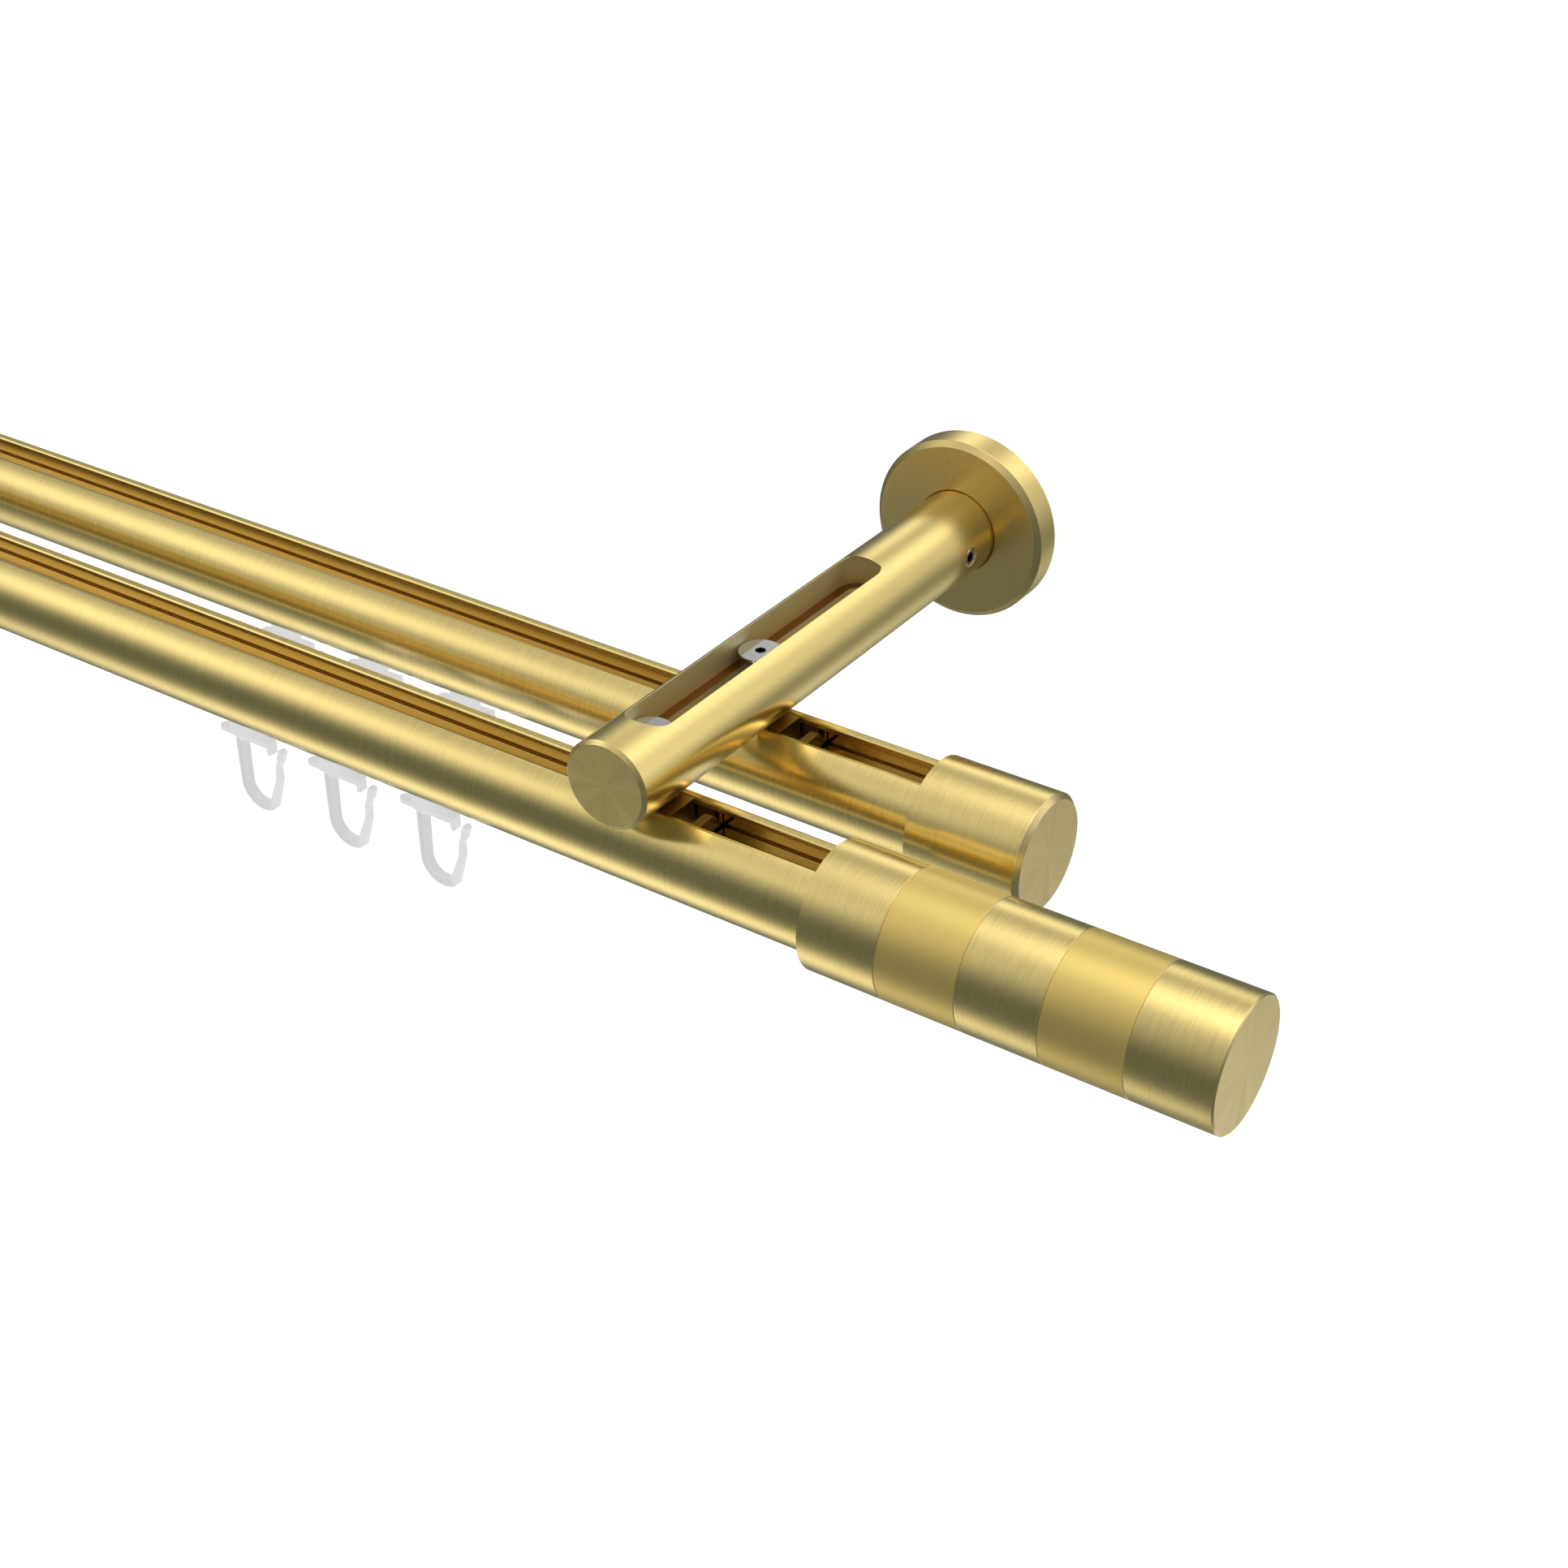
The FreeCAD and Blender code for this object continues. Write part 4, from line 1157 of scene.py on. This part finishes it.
def glider_mesh(sizes):
    """One hook glider: its head, neck, flange with catch, heel, tongue and barb."""
    ease = sizes.moulded_edge
    skin = Skin()
    middle = (sizes.flange_left_x + sizes.flange_right_x) / 2
    head_z = sizes.head_low_z + sizes.head_height / 2
    swept_bar(skin, [(middle - sizes.head_length / 2, head_z, 0),
                     (middle + sizes.head_length / 2, head_z, 0)],
              [sizes.head_height] * 2, lambda x: 2 * sizes.head_half, HEAD_EASE,
              end_ease=HEAD_END_EASE)
    swept_bar(skin, [(middle, sizes.flange_top_z - NECK_LAP, 0), (middle, head_z, 0)],
              [sizes.neck_length] * 2, lambda x: 2 * sizes.neck_half, ease)
    flange_z = sizes.flange_top_z - sizes.flange_thickness / 2
    half = sizes.flange_depth / 2

    def flange_depth(x):
        into = max(0.0, half - (x - sizes.flange_left_x))
        return max(THINNEST, 2 * math.sqrt(max(0.0, half**2 - into**2)))

    left_end = [sizes.flange_left_x + half * (1 - math.cos(math.radians(90 * k / FLANGE_END_STEPS)))
                for k in range(1, FLANGE_END_STEPS + 1)]
    swept_bar(skin, [(x, flange_z, 0) for x in left_end + [sizes.flange_right_x]],
              [sizes.flange_thickness] * (FLANGE_END_STEPS + 1), flange_depth, ease)
    step_z = sizes.flange_top_z - (sizes.flange_thickness + sizes.flange_step) / 2
    swept_bar(skin, [(HOOK_BACK_X, step_z, 0), (sizes.flange_right_x, step_z, 0)],
              [sizes.flange_thickness + sizes.flange_step] * 2, flange_depth, ease,
              end_ease=SMALL_END_EASE)
    catch_x = sizes.flange_right_x - sizes.catch_width / 2
    catch_low = sizes.flange_top_z - sizes.flange_thickness - sizes.flange_step - sizes.catch_drop
    swept_bar(skin, [(catch_x, sizes.flange_top_z - CATCH_LAP, 0), (catch_x, catch_low, 0)],
              [sizes.catch_width] * 2, lambda x: sizes.flange_depth, ease, end_ease=CATCH_EASE)

    def hook_depth(x):
        along = min(1.0, max(0.0, (x - TOE_X) / sizes.tongue_taper))
        return sizes.hook_depth + (sizes.tongue_depth - sizes.hook_depth) * along

    swept_bar(skin, [(HOOK_BACK_X, flange_z, 0), (HOOK_BACK_X, HOOK_LOW_Z, HEEL_BEND),
                     (TOE_X, HOOK_LOW_Z, 0)],
              HEEL_WIDTHS, hook_depth, ease, (sizes.groove_width, sizes.groove_depth))
    swept_bar(skin, [(TOE_X - TOE_LAP, HOOK_LOW_Z, 0)] + [(x, z, bend) for x, z, bend, _ in TONGUE],
              [TOE_WIDTH] + [width for _, _, _, width in TONGUE], hook_depth, ease)
    tip = Vector(BARB_TIP)
    barb = Vector(TONGUE[-1][:2])
    shoulder = tip - (tip - barb).normalized() * BARB_POINT
    swept_bar(skin, [(barb.x, barb.y, 0), (shoulder.x, shoulder.y, 0), (tip.x, tip.y, 0)],
              BARB_WIDTHS, lambda x: sizes.tongue_depth, ease, end_ease=SMALL_END_EASE)
    return skin.mesh("glider_mesh", ["milky_plastic"])


class BuildGliders(bpy.types.Operator):
    """Moulds the six hook gliders and hangs each in its track"""

    bl_idname = "curtain_rod.gliders"
    bl_label = "Gliders"

    def execute(self, context):
        layout, sizes = context.scene.rod_layout, context.scene.rod_gliders
        mesh = glider_mesh(sizes)
        runs = (("front", layout.front_run_y, layout.front_glider_x, layout.front_pitch),
                ("rear", layout.rear_run_y, layout.rear_glider_x, layout.rear_pitch))
        for run, run_y, first_x, pitch in runs:
            for number in (1, 2, 3):
                name = f"{run}_glider_{number}"
                place = (first_x - (number - 1) * pitch, run_y, layout.rod_z)
                piece = put(name + "_moulded", mesh, place, name + "_body", [name])
                merging = piece.modifiers.new("one moulding", "REMESH")
                merging.mode = "VOXEL"
                merging.voxel_size = sizes.merge_step
                merging.use_smooth_shade = True
        return {"FINISHED"}


def studio_world(settings):
    """Soft studio light by direction: dim round the horizon, bright where the lamps are."""
    world = bpy.data.worlds.new("studio")
    world.use_nodes = True
    maker = NodeMaker(world.node_tree)
    towards = maker.take("ShaderNodeTexCoord", output="Generated")
    height = maker.parts(towards)[2]
    glow = height.at_least(0.0) * settings.upper_strength
    for direction, strength, narrow in STUDIO_GLOWS:
        facing = maker.take(
            "ShaderNodeVectorMath", {"operation": "DOT_PRODUCT"},
            {0: towards, 1: tuple(Vector(direction).normalized())}, output="Value")
        glow = glow + ((facing - 1.0) * narrow).exp() * strength
    dim = maker.take("ShaderNodeBackground", None, {
        "Color": (*settings.dim_colour, 1.0), "Strength": settings.dim_strength})
    bright = maker.take("ShaderNodeBackground", None, {
        "Color": (*settings.glow_colour, 1.0), "Strength": glow})
    lit = maker.take("ShaderNodeAddShader", None, {0: dim, 1: bright})
    plain = maker.take("ShaderNodeBackground", None, {
        "Color": (1.0, 1.0, 1.0, 1.0), "Strength": 1.0})
    seen = maker.take("ShaderNodeLightPath", output="Is Camera Ray")
    shown = maker.take("ShaderNodeMixShader", None, {0: seen, 1: lit, 2: plain})
    maker.add("ShaderNodeOutputWorld", None, {"Surface": shown})
    return world


class BuildStudio(bpy.types.Operator):
    """Sets the camera, the pale floor and the soft light"""

    bl_idname = "curtain_rod.studio"
    bl_label = "Studio"

    def execute(self, context):
        scene = context.scene
        settings = scene.rod_studio
        data = bpy.data.cameras.new("camera")
        data.lens = settings.lens
        data.sensor_width = 36.0
        data.clip_start = 0.01
        data.clip_end = 100.0
        camera = bpy.data.objects.new("camera", data)
        camera.location = settings.camera_place
        camera.rotation_euler = settings.camera_turn
        scene.collection.objects.link(camera)
        scene.camera = camera
        scene.world = studio_world(settings)
        scene.view_settings.view_transform = "Standard"
        skin = Skin()
        corners = [Vector((x * FLOOR_HALF, y * FLOOR_HALF, 0))
                   for x, y in ((-1, -1), (1, -1), (1, 1), (-1, 1))]
        skin.face(skin.row(corners, [AXIS_Z] * 4))

        def pale(maker):
            cloud = maker.noise(maker.place(), 3.0)
            return {
                "Base Color": maker.blended(cloud, (0.08, 0.08, 0.08), (0.09, 0.09, 0.09)),
                "Roughness": 0.9,
                "Emission Color": (1.0, 1.0, 1.0, 1.0),
                "Emission Strength": FLOOR_GLOW,
            }

        finished_material("pale_floor", (0.9, 0.9, 0.9), pale)
        floor = bpy.data.objects.new("floor", skin.mesh("floor_mesh", ["pale_floor"]))
        floor.location = (0, 0, settings.floor_z)
        floor.visible_glossy = False
        scene.collection.objects.link(floor)
        lamp_data = bpy.data.lights.new("overhead_lamp", "AREA")
        lamp_data.shape = "RECTANGLE"
        lamp_data.size = LAMP_SIZE
        lamp_data.size_y = LAMP_SIZE
        lamp_data.energy = LAMP_POWER
        lamp = bpy.data.objects.new("overhead_lamp", lamp_data)
        lamp.location = LAMP_PLACE
        lamp.visible_glossy = False
        scene.collection.objects.link(lamp)
        return {"FINISHED"}


class RodPanel(bpy.types.Panel):
    """Lists what builds the curtain rod"""

    bl_idname = "VIEW3D_PT_curtain_rod"
    bl_label = "Curtain rod"
    bl_space_type = "VIEW_3D"
    bl_region_type = "UI"
    bl_category = "Curtain rod"

    def draw(self, context):
        for operator in OPERATORS:
            self.layout.operator(operator.bl_idname)


OPERATORS = (BuildRods, BuildArms, BuildRosettes, BuildScrews, BuildFinials, BuildGliders,
             BuildStudio)
SETTINGS = (("rod_layout", LayoutSizes), ("rod_section", RodSizes), ("rod_brackets", BracketSizes),
            ("rod_ends", EndSizes), ("rod_gliders", GliderSizes), ("rod_finishes", FinishSettings),
            ("rod_studio", StudioSettings))


def register():
    """Makes the settings, operators and panel known to Blender."""
    for name, group in SETTINGS:
        bpy.utils.register_class(group)
        setattr(bpy.types.Scene, name, bpy.props.PointerProperty(type=group))
    for operator in OPERATORS:
        bpy.utils.register_class(operator)
    bpy.utils.register_class(RodPanel)


def unregister():
    """Takes the settings, operators and panel away again."""
    bpy.utils.unregister_class(RodPanel)
    for operator in reversed(OPERATORS):
        bpy.utils.unregister_class(operator)
    for name, group in reversed(SETTINGS):
        delattr(bpy.types.Scene, name)
        bpy.utils.unregister_class(group)


def main():
    register()
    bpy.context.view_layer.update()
    bpy.ops.curtain_rod.rods()
    bpy.ops.curtain_rod.arms()
    bpy.ops.curtain_rod.rosettes()
    bpy.ops.curtain_rod.screws()
    bpy.ops.curtain_rod.finials()
    bpy.ops.curtain_rod.gliders()
    bpy.ops.curtain_rod.studio()


if __name__ == "__main__":
    main()
